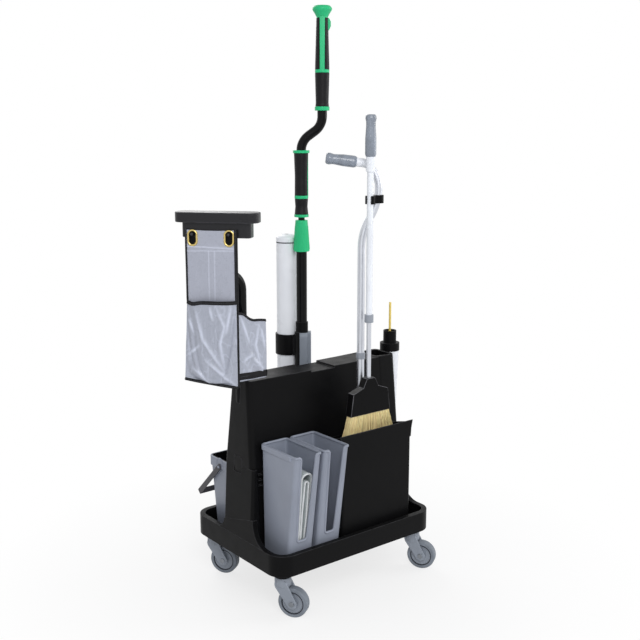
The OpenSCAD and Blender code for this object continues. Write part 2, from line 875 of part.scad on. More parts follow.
module pan_shell() {
  color(black)
    difference() {
      union() {
        difference() {
          translate([pan_x, pan_y, stand_z])
            linear_extrude(pan_h)
              round_rect(pan_w, pan_depth, pan_r);
          translate([pan_x, pan_y, stand_z + pan_t])
            linear_extrude(pan_h)
              round_rect(pan_w - 2 * pan_t, pan_depth - 2 * pan_t, pan_r - pan_t);
          translate([pan_x - pan_w, 0, stand_z])
            rotate([90, 0, 90])
              linear_extrude(2 * pan_w)
                polygon([
                  [pan_front_y + pan_t, pan_h - pan_side_drop], [pan_back_y - pan_t, pan_back_h],
                  [pan_back_y + over, pan_back_h], [pan_back_y + over, pan_h + over],
                  [pan_front_y + pan_t, pan_h + over],
                ]);
        }
        for (side = [-1, 1])
          translate([pan_x + side * pan_w / 2, pan_front_y + pan_t, stand_z + pan_h])
            rotate([90, 0, 0])
              linear_extrude(pan_t)
                polygon([[-side * ear_w, -2 * ear_h], [0, -2 * ear_h], [side * ear_waist, -ear_h],
                  [side * ear_out, 0], [-side * ear_w, 0]]);
        translate([pan_tube_x - pan_socket_w / 2, pan_back_y - pan_t / 2, stand_z + pan_socket_z])
          cube([pan_socket_w, pan_tube_gap + pan_tube_d / 2 + pan_t, pan_socket_h]);
      }
      translate([pan_tube_x, pan_tube_y, stand_z + pan_tube_foot])
        cylinder(d = pan_tube_d, h = pan_h);
    }
}

// Places along the bow's own plane: its widest place and the end of the crook
bow_peak = [0, 0, pan_tube_h] + 2 * bend_step(bow_r, bow_turn);
crook_step = bend_step(crook_r, crook_turn);
crook_end = bow_peak + [-crook_step[0], 0, crook_step[2]];

// Moves a piece from the bow's own plane to its place
module at_bow() {
  translate([pan_tube_x, pan_tube_y, stand_z])
    rotate([0, 0, bow_plane])
      children();
}

// Outline in space of the handle tube: upright, a bow to the right, a crook to the left
module pan_tube_body(d) {
  at_bow() {
    translate([0, 0, pan_tube_foot])
      cylinder(d = d, h = pan_tube_h - pan_tube_foot + over);
    translate([0, 0, pan_tube_h])
      bend_right(bow_r, bow_turn, d - bend_slim);
    translate([0, 0, pan_tube_h] + bend_step(bow_r, bow_turn))
      rotate([0, bow_turn, 0]) {
        cylinder(d = d, h = 2 * over, center = true);
        bend_left(bow_r, bow_turn, d - bend_slim);
      }
    translate(bow_peak) {
      cylinder(d = d, h = 2 * over, center = true);
      bend_left(crook_r, crook_turn, d - bend_slim);
    }
  }
}

module pan_tube() {
  color(aluminium) pan_tube_body(pan_tube_d);
}

module pan_sleeve() {
  color(grip_grey)
    translate([pan_tube_x, pan_tube_y, stand_z + pan_sleeve_z])
      difference() {
        cylinder(d = pan_tube_d + 2 * sleeve_t, h = pan_sleeve_h);
        translate([0, 0, -over])
          cylinder(d = pan_tube_d, h = pan_sleeve_h + 2 * over);
      }
}

// Elbow that turns the crook into the nearly level grip
elbow_turn = 90 - crook_turn - grip_tilt;
elbow_step = bend_step(elbow_r, elbow_turn);

// Moves a piece onto the elbow's end, Z along the grip
module at_grip() {
  at_bow()
    translate(crook_end)
      rotate([0, -crook_turn, 0])
        translate([-elbow_step[0], 0, elbow_step[2]])
          rotate([0, -elbow_turn, 0])
            children();
}

module pan_elbow() {
  color(bottle_white) {
    at_bow()
      translate(crook_end)
        rotate([0, -crook_turn, 0])
          bend_left(elbow_r, elbow_turn, elbow_d - bend_slim);
    at_grip()
      translate([0, 0, -over])
        cylinder(d = elbow_d, h = elbow_l + over);
  }
}

module pan_grip() {
  color(grip_grey)
    at_grip()
      translate([0, 0, elbow_l])
        hand_grip(grip_d / 2, pan_grip_l);
}

// Moulded hand grip with a waist and a rounded end
module hand_grip(r, l) {
  turned([
    [0, 0], [r - grip_waist, 0], [r, grip_edge], [r, l * 0.42], [r - grip_waist, l * 0.72],
    [r - grip_waist, l - 3 * grip_edge], [r, l - 1.6 * grip_edge], [r - 1, l - grip_edge / 2],
    [r - 2 * grip_waist, l], [0, l],
  ]);
}

// Broom
broom_x = 73;
broom_y = pan_front_y + broom_inset;
tip_z = stand_z + tip_rise;
head_z = tip_z + bristle_l;
head_h = 62;
neck_h = 34;
neck_half = 25;
neck_top_half = 13;
shoulder_half = 57;
shoulder_rise = 11;
backing_t = 4;
rod_z = head_z + head_h + neck_h;
rod_grip = 20;
broom_sleeve_z = tip_z + broom_sleeve_rise;
broom_sleeve_h = 20;
broom_sleeve_t = 3.2;
broom_grip_over = 2.4;
broom_collar_h = 36;
strand_r = 1.15;
strand_taper = 0.7;
clip_ring_t = 4;
broom_clip_h = 20;
broom_clip_mouth = 14;
clip_drop = 28;
broom_clip_z = stand_z + bow_peak[2] - clip_drop;
broom_top = broom_clip_z + broom_rise;

// Clip that is clamped on the bow and snaps round the broom's tube
module broom_clip() {
  bow_x = bow_peak[0] - bow_r + sqrt(bow_r * bow_r - clip_drop * clip_drop);
  to_bow = [pan_tube_x + bow_x * cos(bow_plane) - broom_x, pan_tube_y + bow_x * sin(bow_plane) - broom_y];
  ring_r = broom_tube_d / 2 + rest_gap;
  color(soft_black)
    difference() {
      translate([broom_x, broom_y, broom_clip_z - broom_clip_h / 2])
        rotate([0, 0, atan2(to_bow[1], to_bow[0])])
          difference() {
            union() {
              cylinder(r = ring_r + clip_ring_t, h = broom_clip_h);
              translate([norm(to_bow), 0, 0])
                cylinder(d = pan_tube_d + 3 * clip_ring_t, h = broom_clip_h);
              translate([ring_r, -clip_ring_t, 0])
                cube([norm(to_bow) - ring_r, 2 * clip_ring_t, broom_clip_h]);
            }
            translate([0, 0, -over])
              cylinder(r = ring_r, h = broom_clip_h + 2 * over);
            translate([-ring_r - clip_ring_t - over, -broom_clip_mouth / 2, -over])
              cube([ring_r + clip_ring_t + over, broom_clip_mouth, broom_clip_h + 2 * over]);
          }
      pan_tube_body(pan_tube_d);
    }
}

// Head: a flat moulding with sloped shoulders, a neck and a raised frame on its front
module broom_head() {
  half = broom_w / 2;
  shoulder_h = head_h - backing_t;
  neck_foot_h = shoulder_h + shoulder_rise;
  neck_top_h = shoulder_h + neck_h;
  color(black)
    difference() {
      translate([broom_x, broom_y + broom_t / 2, head_z + backing_t])
        rotate([90, 0, 0])
          linear_extrude(broom_t)
            polygon([
              [-half, 0], [half, 0], [shoulder_half, shoulder_h], [neck_half, neck_foot_h],
              [neck_top_half, neck_top_h], [-neck_top_half, neck_top_h],
              [-neck_half, neck_foot_h], [-shoulder_half, shoulder_h],
            ]);
      translate([broom_x, broom_y, rod_z - rod_grip])
        cylinder(d = broom_rod_d, h = rod_grip + over);
    }
}

// Bristles: rows of tapered three-sided strands that fan out, fused to a slice of backing
module broom_bristles() {
  pitch = (broom_w - 6) / (bristle_count - 1);
  row_pitch = (broom_t - 6) / (bristle_rows - 1);
  full_w = broom_w + 2 * bristle_flare;
  color(straw)
    translate([broom_x, broom_y, head_z + backing_t])
      resize([0, 0, bristle_l + backing_t])
        union() {
          translate([0, 0, -backing_t / 2])
            cube([broom_w - 1, broom_t - 1, backing_t], center = true);
          for (i = [0:bristle_count - 1], j = [0:bristle_rows - 1]) {
            place = i - (bristle_count - 1) / 2;
            shift = (j % 2 == 0) ? 0.25 : -0.25;
            x = (place + shift) * pitch;
            lean = atan(x * (full_w - broom_w) / (broom_w * bristle_l));
            translate([x, (j - (bristle_rows - 1) / 2) * row_pitch, -backing_t / 2])
              rotate([0, 180 - lean, 0])
                linear_extrude((bristle_l + backing_t / 2) / cos(lean), scale = strand_taper)
                  circle(r = strand_r, $fn = 3);
          }
        }
}

module broom_rod() {
  color(aluminium)
    translate([broom_x, broom_y, rod_z - rod_grip])
      cylinder(d = broom_rod_d, h = broom_sleeve_z + broom_sleeve_h / 2 - rod_z + rod_grip);
}

module broom_sleeve() {
  color(grip_grey)
    translate([broom_x, broom_y, broom_sleeve_z])
      difference() {
        cylinder(d = broom_tube_d + 2 * broom_sleeve_t, h = broom_sleeve_h);
        translate([0, 0, -over])
          cylinder(d = broom_rod_d, h = broom_sleeve_h / 2 + over);
        translate([0, 0, broom_sleeve_h / 2])
          cylinder(d = broom_tube_d, h = broom_sleeve_h);
      }
}

module broom_tube() {
  color(aluminium)
    translate([broom_x, broom_y, broom_sleeve_z + broom_sleeve_h / 2])
      cylinder(d = broom_tube_d,
        h = broom_top - broom_grip_l - broom_collar_h / 2 - broom_sleeve_z - broom_sleeve_h / 2);
}

module broom_collar() {
  color(bottle_white)
    translate([broom_x, broom_y, broom_top - broom_grip_l - broom_collar_h])
      difference() {
        cylinder(d = broom_tube_d + 2 * broom_sleeve_t, h = broom_collar_h);
        translate([0, 0, -over])
          cylinder(d = broom_tube_d, h = broom_collar_h / 2 + over);
      }
}

module broom_grip() {
  color(grip_grey)
    translate([broom_x, broom_y, broom_top - broom_grip_l])
      hand_grip(broom_tube_d / 2 + broom_sleeve_t + broom_grip_over, broom_grip_l);
}

// Mop
pad_t = 11;
pad_r = 20;
plate_t = 7;
plate_inset = 7;
joint_d = 30;
joint_h = 64;
joint_ear_w = 44;
lower_tube_z = stand_z + pad_t + plate_t + joint_h;
collar_top_z = floor_z + collar_z + collar_h;
mid_z = collar_top_z + 8;
neck_z = mid_z + mid_grip_h;
neck_steps = 2 * bend_step(neck_r, neck_turn) + run_step(neck_run, neck_turn);
neck_end = 14;
tube_in_grip = 170;
top_z = neck_z + neck_steps[2] + neck_end;
cradle_z = floor_z + cradle_rise;
cradle_h = 110;
cradle_t = 4;
cradle_wall = 5.3;
cradle_lip = 2.5;
cradle_arm_w = 22.6;
panel_seat = 1.5;
bottle_left = 40;
bottle_back = 33;
bottle_z = cradle_z - 72;
cap_h = 22;
clamp_z = cradle_z + 44;
clamp_h = 56;
cup_h = 34;
side_panel_t = 9;
side_panel_w = 26;
trigger_l = 30;
trigger_t = 5;
telescope_d = 17;

// Moves a piece from the pole's own axis, X in the plane of the bend, to its place
module at_pole(z) {
  translate([pole_x, pole_y, z])
    rotate([0, 0, pole_turn])
      children();
}

module mop_pad() {
  color(cloth_grey)
    translate([pole_x, pole_y, stand_z])
      linear_extrude(pad_t)
        round_rect(pad_l, pad_w, pad_r);
}

module mop_plate() {
  color(green)
    translate([pole_x, pole_y, stand_z + pad_t])
      linear_extrude(plate_t)
        round_rect(pad_l - 2 * plate_inset, pad_w - 2 * plate_inset, pad_r - plate_inset);
}

// Cross joint between the plate and the pole, drawn as its two nested yokes
module mop_joint() {
  color(black)
    translate([pole_x, pole_y, stand_z + pad_t + plate_t]) {
      translate([-joint_ear_w / 2, -joint_d / 3, 0])
        cube([joint_ear_w, 2 * joint_d / 3, joint_h * 0.3]);
      translate([0, 0, joint_h * 0.22])
        rotate([90, 0, 0])
          cylinder(d = joint_d * 0.8, h = joint_ear_w, center = true);
      cylinder(d = joint_d * 0.7, h = joint_h * 0.6);
      translate([0, 0, joint_h * 0.5])
        cylinder(d = joint_d, h = joint_h * 0.5);
    }
}

module mop_lower_tube() {
  color(black)
    translate([pole_x, pole_y, lower_tube_z])
      difference() {
        cylinder(d = pole_d, h = collar_top_z - collar_h / 2 - lower_tube_z);
        translate([0, 0, joint_h])
          cylinder(d = telescope_d + 2 * run_fit, h = collar_top_z);
      }
}

// Cradle: a moulding clamped on the tube, with a cup and a clamp for the bottle
module mop_cradle() {
  ring_d = bottle_d + 2 * rest_gap;
  color(black)
    at_pole(0)
      difference() {
        union() {
          translate([0, 0, cradle_z])
            cylinder(d = pole_d + 2 * cradle_wall, h = cradle_h);
          translate([0, 0, cradle_z + cradle_h])
            cylinder(d = pole_d + 2 * cradle_lip, h = cradle_h / 4);
          translate([-bottle_left, bottle_back, clamp_z])
            cylinder(d = ring_d + 2 * cradle_t, h = clamp_h);
          translate([-bottle_left, bottle_back, bottle_z - cradle_t])
            cylinder(d = ring_d + 2 * cradle_t, h = cup_h);
          translate([0, 0, bottle_z - cradle_t])
            cylinder(d = pole_d + 2 * cradle_t, h = cradle_z - bottle_z + cradle_t);
          for (arm = [[clamp_z, clamp_h], [bottle_z - cradle_t, cup_h]])
            translate([0, 0, arm[0]])
              rotate([0, 0, atan2(bottle_back, -bottle_left)])
                translate([0, -cradle_arm_w / 2, 0])
                  cube([norm([bottle_left, bottle_back]), cradle_arm_w, arm[1]]);
        }
        translate([-bottle_left, bottle_back, bottle_z])
          cylinder(d = ring_d, h = collar_top_z);
        translate([0, 0, bottle_z - cradle_t - over])
          cylinder(d = pole_d, h = collar_top_z);
        translate([pole_d / 2 + panel_seat, -side_panel_w / 2, cradle_z - over])
          cube([2 * cradle_t, side_panel_w, cradle_h + over]);
      }
}

module mop_side_panel() {
  color(bin_grey)
    at_pole(cradle_z)
      translate([pole_d / 2 + panel_seat, -side_panel_w / 2, 0])
        cube([side_panel_t, side_panel_w, cradle_h]);
}

module mop_bottle() {
  r = bottle_d / 2;
  color(bottle_white)
    at_pole(bottle_z + rest_gap)
      translate([-bottle_left, bottle_back, 0])
        turned([
          [0, 0], [r - 5, 0], [r, 5], [r, bottle_h - cap_h], [0, bottle_h - cap_h],
        ]);
}

module mop_bottle_cap() {
  r = bottle_d / 2;
  color(bottle_white)
    at_pole(bottle_z + rest_gap + bottle_h - cap_h)
      translate([-bottle_left, bottle_back, 0])
        turned([
          [0, 0], [r - 1.5, 0], [r - 1.5, 2.5], [r + 0.5, 2.5], [r + 0.5, cap_h - 8],
          [r - 5, cap_h - 3], [r * 0.5, cap_h], [4, cap_h], [4, cap_h - 6], [0, cap_h - 6],
        ]);
}

// Twist collar over the joint of the two tubes
module mop_collar() {
  foot_r = 21;
  top_r = 16;
  half = collar_h / 2;
  color(green)
    translate([pole_x, pole_y, collar_top_z - collar_h])
      turned([
        [pole_d / 2 + run_fit, 0], [foot_r, 0], [foot_r, 3], [top_r + 1, collar_h - 12],
        [top_r, collar_h],
        [telescope_d / 2 + run_fit, collar_h], [telescope_d / 2 + run_fit, half + rest_gap],
        [pole_d / 2 + run_fit, half + rest_gap],
      ]);
}

telescope_l = 330;
telescope_z = collar_top_z - collar_h / 2 - telescope_l;

// Bent tube: a straight run that telescopes into the lower tube, and an offset double bend
module mop_bent_tube() {
  color(black)
    at_pole(0) {
      translate([0, 0, telescope_z])
        cylinder(d = telescope_d, h = neck_z - mid_grip_h / 2 - telescope_z + over);
      translate([0, 0, neck_z - mid_grip_h / 2])
        cylinder(d = neck_d, h = mid_grip_h / 2 + over);
      translate([0, 0, neck_z]) {
        bend_right(neck_r, neck_turn, neck_d - bend_slim);
        translate(bend_step(neck_r, neck_turn))
          rotate([0, neck_turn, 0]) {
            translate([0, 0, -over])
              cylinder(d = neck_d, h = neck_run + 2 * over);
            translate([0, 0, neck_run])
              bend_left(neck_r, neck_turn, neck_d - bend_slim);
          }
        translate(neck_steps - [0, 0, over])
          cylinder(d = neck_d, h = neck_end + tube_in_grip + over);
      }
    }
}

mid_r = 18;
mid_ring_r = 21.5;
mid_ring_h = 7;
mid_band_z = 48;
mid_band_h = 8;
core_wall = 2;
core_d = neck_d + 2 * core_wall;

// Middle grip: a green core with end rings, a band and one stripe
module mop_mid_grip() {
  color(green)
    at_pole(mid_z)
      difference() {
        union() {
          cylinder(d = core_d, h = mid_grip_h);
          cylinder(r = mid_r + 1, h = mid_ring_h);
          translate([0, 0, mid_band_z])
            cylinder(r = mid_r, h = mid_band_h);
          translate([0, 0, mid_grip_h - mid_ring_h])
            cylinder(r = mid_ring_r, h = mid_ring_h);
          translate([0, -5, mid_band_z + mid_band_h])
            cube([mid_r, 10, mid_grip_h - mid_band_z - mid_band_h - mid_ring_h]);
        }
        translate([0, 0, -over])
          cylinder(d = telescope_d, h = mid_grip_h / 2 + over);
        translate([0, 0, mid_grip_h / 2])
          cylinder(d = neck_d, h = mid_grip_h);
      }
}

// Black grip pads moulded over the middle grip's core
module mop_mid_pads() {
  color(soft_black)
    at_pole(mid_z) {
      translate([0, 0, mid_ring_h])
        turned([
          [core_d / 2, 0], [mid_r, 0], [mid_r - 2, (mid_band_z - mid_ring_h) / 2],
          [mid_r - 0.5, mid_band_z - mid_ring_h], [core_d / 2, mid_band_z - mid_ring_h],
        ]);
      difference() {
        translate([0, 0, mid_band_z + mid_band_h])
          turned([
            [core_d / 2, 0], [mid_r - 0.5, 0], [mid_r - 1, 50],
            [mid_r + 1, mid_grip_h - mid_band_z - mid_band_h - mid_ring_h],
            [core_d / 2, mid_grip_h - mid_band_z - mid_band_h - mid_ring_h],
          ]);
        translate([0, -5, mid_band_z])
          cube([2 * mid_r, 10, mid_grip_h]);
      }
    }
}

top_ring_h = 10;
top_ring_r = 19;
top_low_h = 84;
top_band_h = 8;
top_r = 18.5;
knob_r = 25;
knob_h = 20;
stripe_w = 13;

// Top grip: a green core with a flared knob, a band and one stripe
module mop_top_grip() {
  body_h = top_grip_h - knob_h;
  color(green)
    at_pole(top_z)
      translate([neck_steps[0], 0, 0])
        difference() {
          union() {
            turned([
              [0, 0], [top_ring_r, 0], [top_ring_r, top_ring_h], [core_d / 2, top_ring_h],
              [core_d / 2, body_h - 8], [core_d / 2 + 4, body_h], [knob_r, body_h + knob_h * 0.5],
              [knob_r, body_h + knob_h * 0.7], [knob_r - 5, top_grip_h], [0, top_grip_h],
            ]);
            translate([0, 0, top_ring_h + top_low_h])
              cylinder(r = top_r, h = top_band_h);
            translate([-stripe_w / 2, -top_r + 3, top_ring_h + top_low_h])
              cube([stripe_w, top_r, body_h - top_ring_h - top_low_h - 6]);
          }
          translate([0, 0, -over])
            cylinder(d = neck_d, h = tube_in_grip + over);
          translate([core_d / 2 - trigger_t, -trigger_w / 2 - rest_gap, trigger_z - rest_gap])
            cube([2 * knob_r, trigger_w + 2 * rest_gap, trigger_l + 2 * rest_gap]);
        }
}

trigger_w = 9;
trigger_rise = 9.5;
trigger_z = top_grip_h - knob_h - trigger_l - 10;
trigger_travel = 2.5;

// Black grip pads moulded over the top grip's core
module mop_top_pads() {
  upper_z = top_ring_h + top_low_h + top_band_h;
  upper_h = top_grip_h - knob_h - upper_z - 10;
  color(soft_black)
    at_pole(top_z)
      translate([neck_steps[0], 0, 0]) {
        translate([0, 0, top_ring_h])
          turned([
            [core_d / 2, 0], [top_r - 1, 0], [top_r - 2, 10], [top_r, top_low_h],
            [core_d / 2, top_low_h],
          ]);
        difference() {
          translate([0, 0, upper_z])
            turned([
              [core_d / 2, 0], [top_r, 0], [top_r - 3.5, upper_h], [core_d / 2, upper_h],
            ]);
          translate([-stripe_w / 2, -2 * top_r, upper_z - over])
            cube([stripe_w, 2 * top_r, upper_h + 2 * over]);
          translate([core_d / 2 - trigger_t, -trigger_w / 2 - rest_gap, trigger_z - rest_gap])
            cube([2 * knob_r, trigger_w + 2 * rest_gap, trigger_l + 2 * rest_gap]);
        }
      }
}

// Trigger button in the side of the top grip
module mop_trigger() {
  color(green)
    at_pole(top_z)
      translate([neck_steps[0] + core_d / 2 - trigger_t + trigger_travel + rest_gap, 0, trigger_z])
        translate([0, trigger_w / 2, 0])
          rotate([90, 0, 0])
            linear_extrude(trigger_w)
              polygon([
                [0, 0], [trigger_t, 0], [trigger_rise, trigger_l * 0.35],
                [trigger_rise, trigger_l * 0.7], [trigger_t, trigger_l], [0, trigger_l],
              ]);
}

// Mast, handle and bag
mast_foot_z = tower_z + socket_rise;
crank_z = mast_foot_z + mast_h - socket_rise;
crank_steps = 2 * bend_step(crank_r, crank_turn) + run_step(crank_run, crank_turn);
handle_x = socket_x - crank_steps[0];
crank_top_z = crank_z + crank_steps[2];
block_z = crank_top_z + mast_top_run;
handle_z = block_z + block_h;
block_l = 166;
block_w = 38;
block_r = 10;
handle_r = 22;
bag_t = 5;
bag_front = block_w / 2 + 3;
bag_shift = -10;
bag_top_z = handle_z - 16;
bag_foot_z = bag_top_z - bag_h;
wing_foot_z = tower_z + 8;
peg_d = 7;
eyelet_w = 24;
eyelet_h = 38;
eyelet_r = 11;
eyelet_t = 3;
eyelet_lip = 1.5;
eyelet_z = bag_top_z - 10;
// Middle of an eyelet that hangs on its peg
eyelet_mid_z = eyelet_z - (eyelet_h / 2 - eyelet_t - peg_d / 2) + run_fit;
cloth_wall = 2;
// The bag's sack in plan: along the panel, back along the tray, and straight to the panel's far edge
sack = [
  [bag_shift - bag_w / 2, -bag_front], [bag_shift + bag_w / 2, -bag_front],
  [bag_shift + bag_w / 2 + bag_wing_l * cos(handle_turn), -bag_front - bag_wing_l * sin(handle_turn)],
];
sack_sides = [norm(sack[1] - sack[2]), norm(sack[2] - sack[0]), norm(sack[0] - sack[1])];
sack_round = sack_sides[0] + sack_sides[1] + sack_sides[2];
sack_middle = (sack_sides[0] * sack[0] + sack_sides[1] * sack[1] + sack_sides[2] * sack[2]) / sack_round;
sack_inradius = -bag_wing_l * sin(handle_turn) * bag_w / sack_round;

// Cranked mast: a spigot in the tower's socket, a post, and a double bend outwards
module mast() {
  first = bend_step(crank_r, crank_turn);
  color(black)
    translate([socket_x, socket_y, 0]) {
      translate([0, 0, tower_z - spigot_l + shell_t + rest_gap])
        cylinder(d = spigot_d, h = spigot_l + socket_rise - shell_t + over);
      translate([0, 0, mast_foot_z + rest_gap])
        cylinder(d = mast_d, h = crank_z - mast_foot_z - rest_gap + over);
      translate([0, 0, crank_z])
        bend_left(crank_r, crank_turn, mast_d - bend_slim);
      translate([-first[0], 0, crank_z + first[2]])
        rotate([0, -crank_turn, 0]) {
          translate([0, 0, -over])
            cylinder(d = mast_d, h = crank_run + 2 * over);
          translate([0, 0, crank_run])
            bend_right(crank_r, crank_turn, mast_d - bend_slim);
        }
      translate([-crank_steps[0], 0, crank_top_z - over])
        cylinder(d = mast_d, h = mast_top_run + over);
    }
}

// Moves a piece from the handle's own frame, X along the handle, to its place
module at_handle(z) {
  translate([handle_x, socket_y, z])
    rotate([0, 0, handle_turn])
      children();
}

module handle() {
  color(black) {
    at_handle(block_z)
      linear_extrude(block_h + over)
        round_rect(block_l, block_w, block_r);
    at_handle(handle_z)
      linear_extrude(handle_t)
        round_rect(handle_l, handle_w, handle_r);
    for (side = [-1, 1])
      at_handle(eyelet_z)
        translate([bag_shift + side * eyelet_pitch / 2, -block_w / 2 + over, 0])
          rotate([90, 0, 0])
            cylinder(d = peg_d, h = bag_front - block_w / 2 + bag_t + over + peg_d);
  }
}

// Bag: a hung panel with a bulged pocket on its front and a sack behind it, both open at the top
module bag() {
  pocket_w = bag_w - 8;
  color(bag_grey)
    difference() {
      union() {
        at_handle(bag_foot_z)
          translate([bag_shift - bag_w / 2, -bag_front - bag_t, 0])
            cube([bag_w, bag_t, bag_h]);
        at_handle(bag_foot_z)
          translate([bag_shift, -bag_front - bag_t + skin, 0])
            rotate([90, 0, 90])
              linear_extrude(bag_w, center = true)
                polygon([
                  [0, 0], [0, bag_pocket_h], [-bag_pocket_t * 0.75, bag_pocket_h],
                  [-bag_pocket_t, bag_pocket_h * 0.5], [-bag_pocket_t, bag_pocket_h * 0.16],
                  [-bag_pocket_t * 0.6, 0],
                ]);
        at_handle(wing_foot_z)
          linear_extrude(bag_wing_h)
            polygon(sack);
      }
      at_handle(bag_foot_z)
        translate([bag_shift, -bag_front - bag_t - cloth_wall, 0])
          rotate([90, 0, 90])
            linear_extrude(pocket_w, center = true)
              polygon([
                [0, cloth_wall], [0, bag_pocket_h + over],
                [-bag_pocket_t * 0.75 + cloth_wall, bag_pocket_h + over],
                [-bag_pocket_t + 2 * cloth_wall, bag_pocket_h * 0.5],
                [-bag_pocket_t + 2 * cloth_wall, bag_pocket_h * 0.16 + cloth_wall],
                [-bag_pocket_t * 0.6 + cloth_wall, cloth_wall],
              ]);
      at_handle(wing_foot_z + cloth_wall)
        linear_extrude(bag_wing_h)
          translate(sack_middle)
            scale(1 - cloth_wall / sack_inradius)
              translate(-sack_middle)
                polygon(sack);
      for (side = [-1, 1])
        at_handle(eyelet_mid_z)
          translate([bag_shift + side * eyelet_pitch / 2, -bag_front + over, 0])
            rotate([90, 0, 0])
              linear_extrude(bag_t + 2 * over)
                round_rect(eyelet_w, eyelet_h, eyelet_r);
    }
}

module bag_eyelets() {
  color(brass)
    for (side = [-1, 1])
      at_handle(eyelet_mid_z)
        translate([bag_shift + side * eyelet_pitch / 2, -bag_front, 0])
          rotate([90, 0, 0])
            difference() {
              union() {
                linear_extrude(bag_t)
                  round_rect(eyelet_w, eyelet_h, eyelet_r);
                translate([0, 0, bag_t])
                  linear_extrude(over)
                    round_rect(eyelet_w + 2 * eyelet_lip, eyelet_h + 2 * eyelet_lip, eyelet_r + eyelet_lip);
              }
              translate([0, 0, -over])
                linear_extrude(bag_t + 3 * over)
                  round_rect(eyelet_w - 2 * eyelet_t, eyelet_h - 2 * eyelet_t, eyelet_r - eyelet_t);
            }
}

// Brush in its holder, hung on the tower's right end
hanger_x = hanger_face_x - shell_t + hanger_l - hanger_wall - tongue_t / 2 - rest_gap;
holder_gap = 1.5;
holder_x = hanger_x + tongue_t / 2 + holder_d / 2 + holder_gap;
holder_top_z = hanger_top_z + 85;
holder_t = 2;
lid_h = 22;
neck_cap_h = 34;
neck_wall = 3;

module brush_holder() {
  r = holder_d / 2;
  foot_r = holder_foot_d / 2;
  neck_r_out = neck_cap_d / 2;
  color(bottle_white)
    difference() {
      union() {
        translate([holder_x, hanger_y, holder_top_z - holder_h])
          turned([
            [0, 0], [foot_r, 0], [r, holder_h], [r + 1.5, holder_h], [r + 1.5, holder_h + lid_h],
            [neck_r_out, holder_h + lid_h], [neck_r_out, holder_h + lid_h + neck_cap_h],
            [0, holder_h + lid_h + neck_cap_h],
          ]);
        translate([hanger_x - tongue_t / 2, hanger_y - tongue_w / 2, hanger_z + hanger_wall + rest_gap])
          cube([tongue_t, tongue_w, hanger_h + 26]);
        translate([hanger_x - tongue_t / 2, hanger_y - tongue_w / 4, hanger_top_z + 4])
          cube([holder_x - hanger_x, tongue_w / 2, 24]);
      }
      translate([holder_x, hanger_y, holder_top_z - holder_h])
        turned([
          [0, holder_t], [foot_r - holder_t, holder_t], [r - holder_t, holder_h],
          [neck_r_out - neck_wall, holder_h + lid_h],
          [neck_r_out - neck_wall, holder_h + lid_h + neck_cap_h + over],
          [0, holder_h + lid_h + neck_cap_h + over],
        ]);
    }
}

// Brush: a thin stick with a round swab at its foot, standing in the holder
module brush() {
  swab_r = holder_foot_d / 2 - holder_t - 2;
  swab_h = 70;
  foot_z = holder_top_z - holder_h + holder_t + rest_gap;
  top = holder_top_z + lid_h + neck_cap_h + stick_rise;
  color(yellow)
    translate([holder_x, hanger_y, foot_z])
      turned([
        [0, 0], [swab_r - 4, 0], [swab_r, 8], [swab_r, swab_h - 8], [swab_r - 6, swab_h],
        [stick_d / 2, swab_h], [stick_d / 2, top - foot_z], [0, top - foot_z],
      ]);
}

base_tray();
tower();
tower_latches();
caster_stems();
caster_fork(-1, -1);  // caster_fork_fl
caster_fork(1, -1);  // caster_fork_fr
caster_fork(-1, 1);  // caster_fork_rl
caster_fork(1, 1);  // caster_fork_rr
wheel_hub(-1, -1);  // wheel_hub_fl
wheel_hub(1, -1);  // wheel_hub_fr
wheel_hub(-1, 1);  // wheel_hub_rl
wheel_hub(1, 1);  // wheel_hub_rr
wheel_tyre(-1, -1);  // wheel_tyre_fl
wheel_tyre(1, -1);  // wheel_tyre_fr
wheel_tyre(-1, 1);  // wheel_tyre_rl
wheel_tyre(1, 1);  // wheel_tyre_rr
wheel_axle(-1, -1);  // wheel_axle_fl
wheel_axle(1, -1);  // wheel_axle_fr
wheel_axle(-1, 1);  // wheel_axle_rl
wheel_axle(1, 1);  // wheel_axle_rr
bin_left();
bin_right();
folded_cloth();
bucket();
bucket_band();
bucket_bail();
pan_shell();
pan_tube();
pan_sleeve();
pan_elbow();
pan_grip();
broom_clip();
broom_head();
broom_bristles();
broom_rod();
broom_sleeve();
broom_tube();
broom_collar();
broom_grip();
mop_pad();
mop_plate();
mop_joint();
mop_lower_tube();
mop_cradle();
mop_side_panel();
mop_bottle();
mop_bottle_cap();
mop_collar();
mop_bent_tube();
mop_mid_grip();
mop_mid_pads();
mop_top_grip();
mop_top_pads();
mop_trigger();
mast();
handle();
bag();
bag_eyelets();
brush_holder();
brush();
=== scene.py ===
import json
import math

import bmesh
import bpy
from mathutils import Matrix, Vector, noise
from mathutils.bvhtree import BVHTree

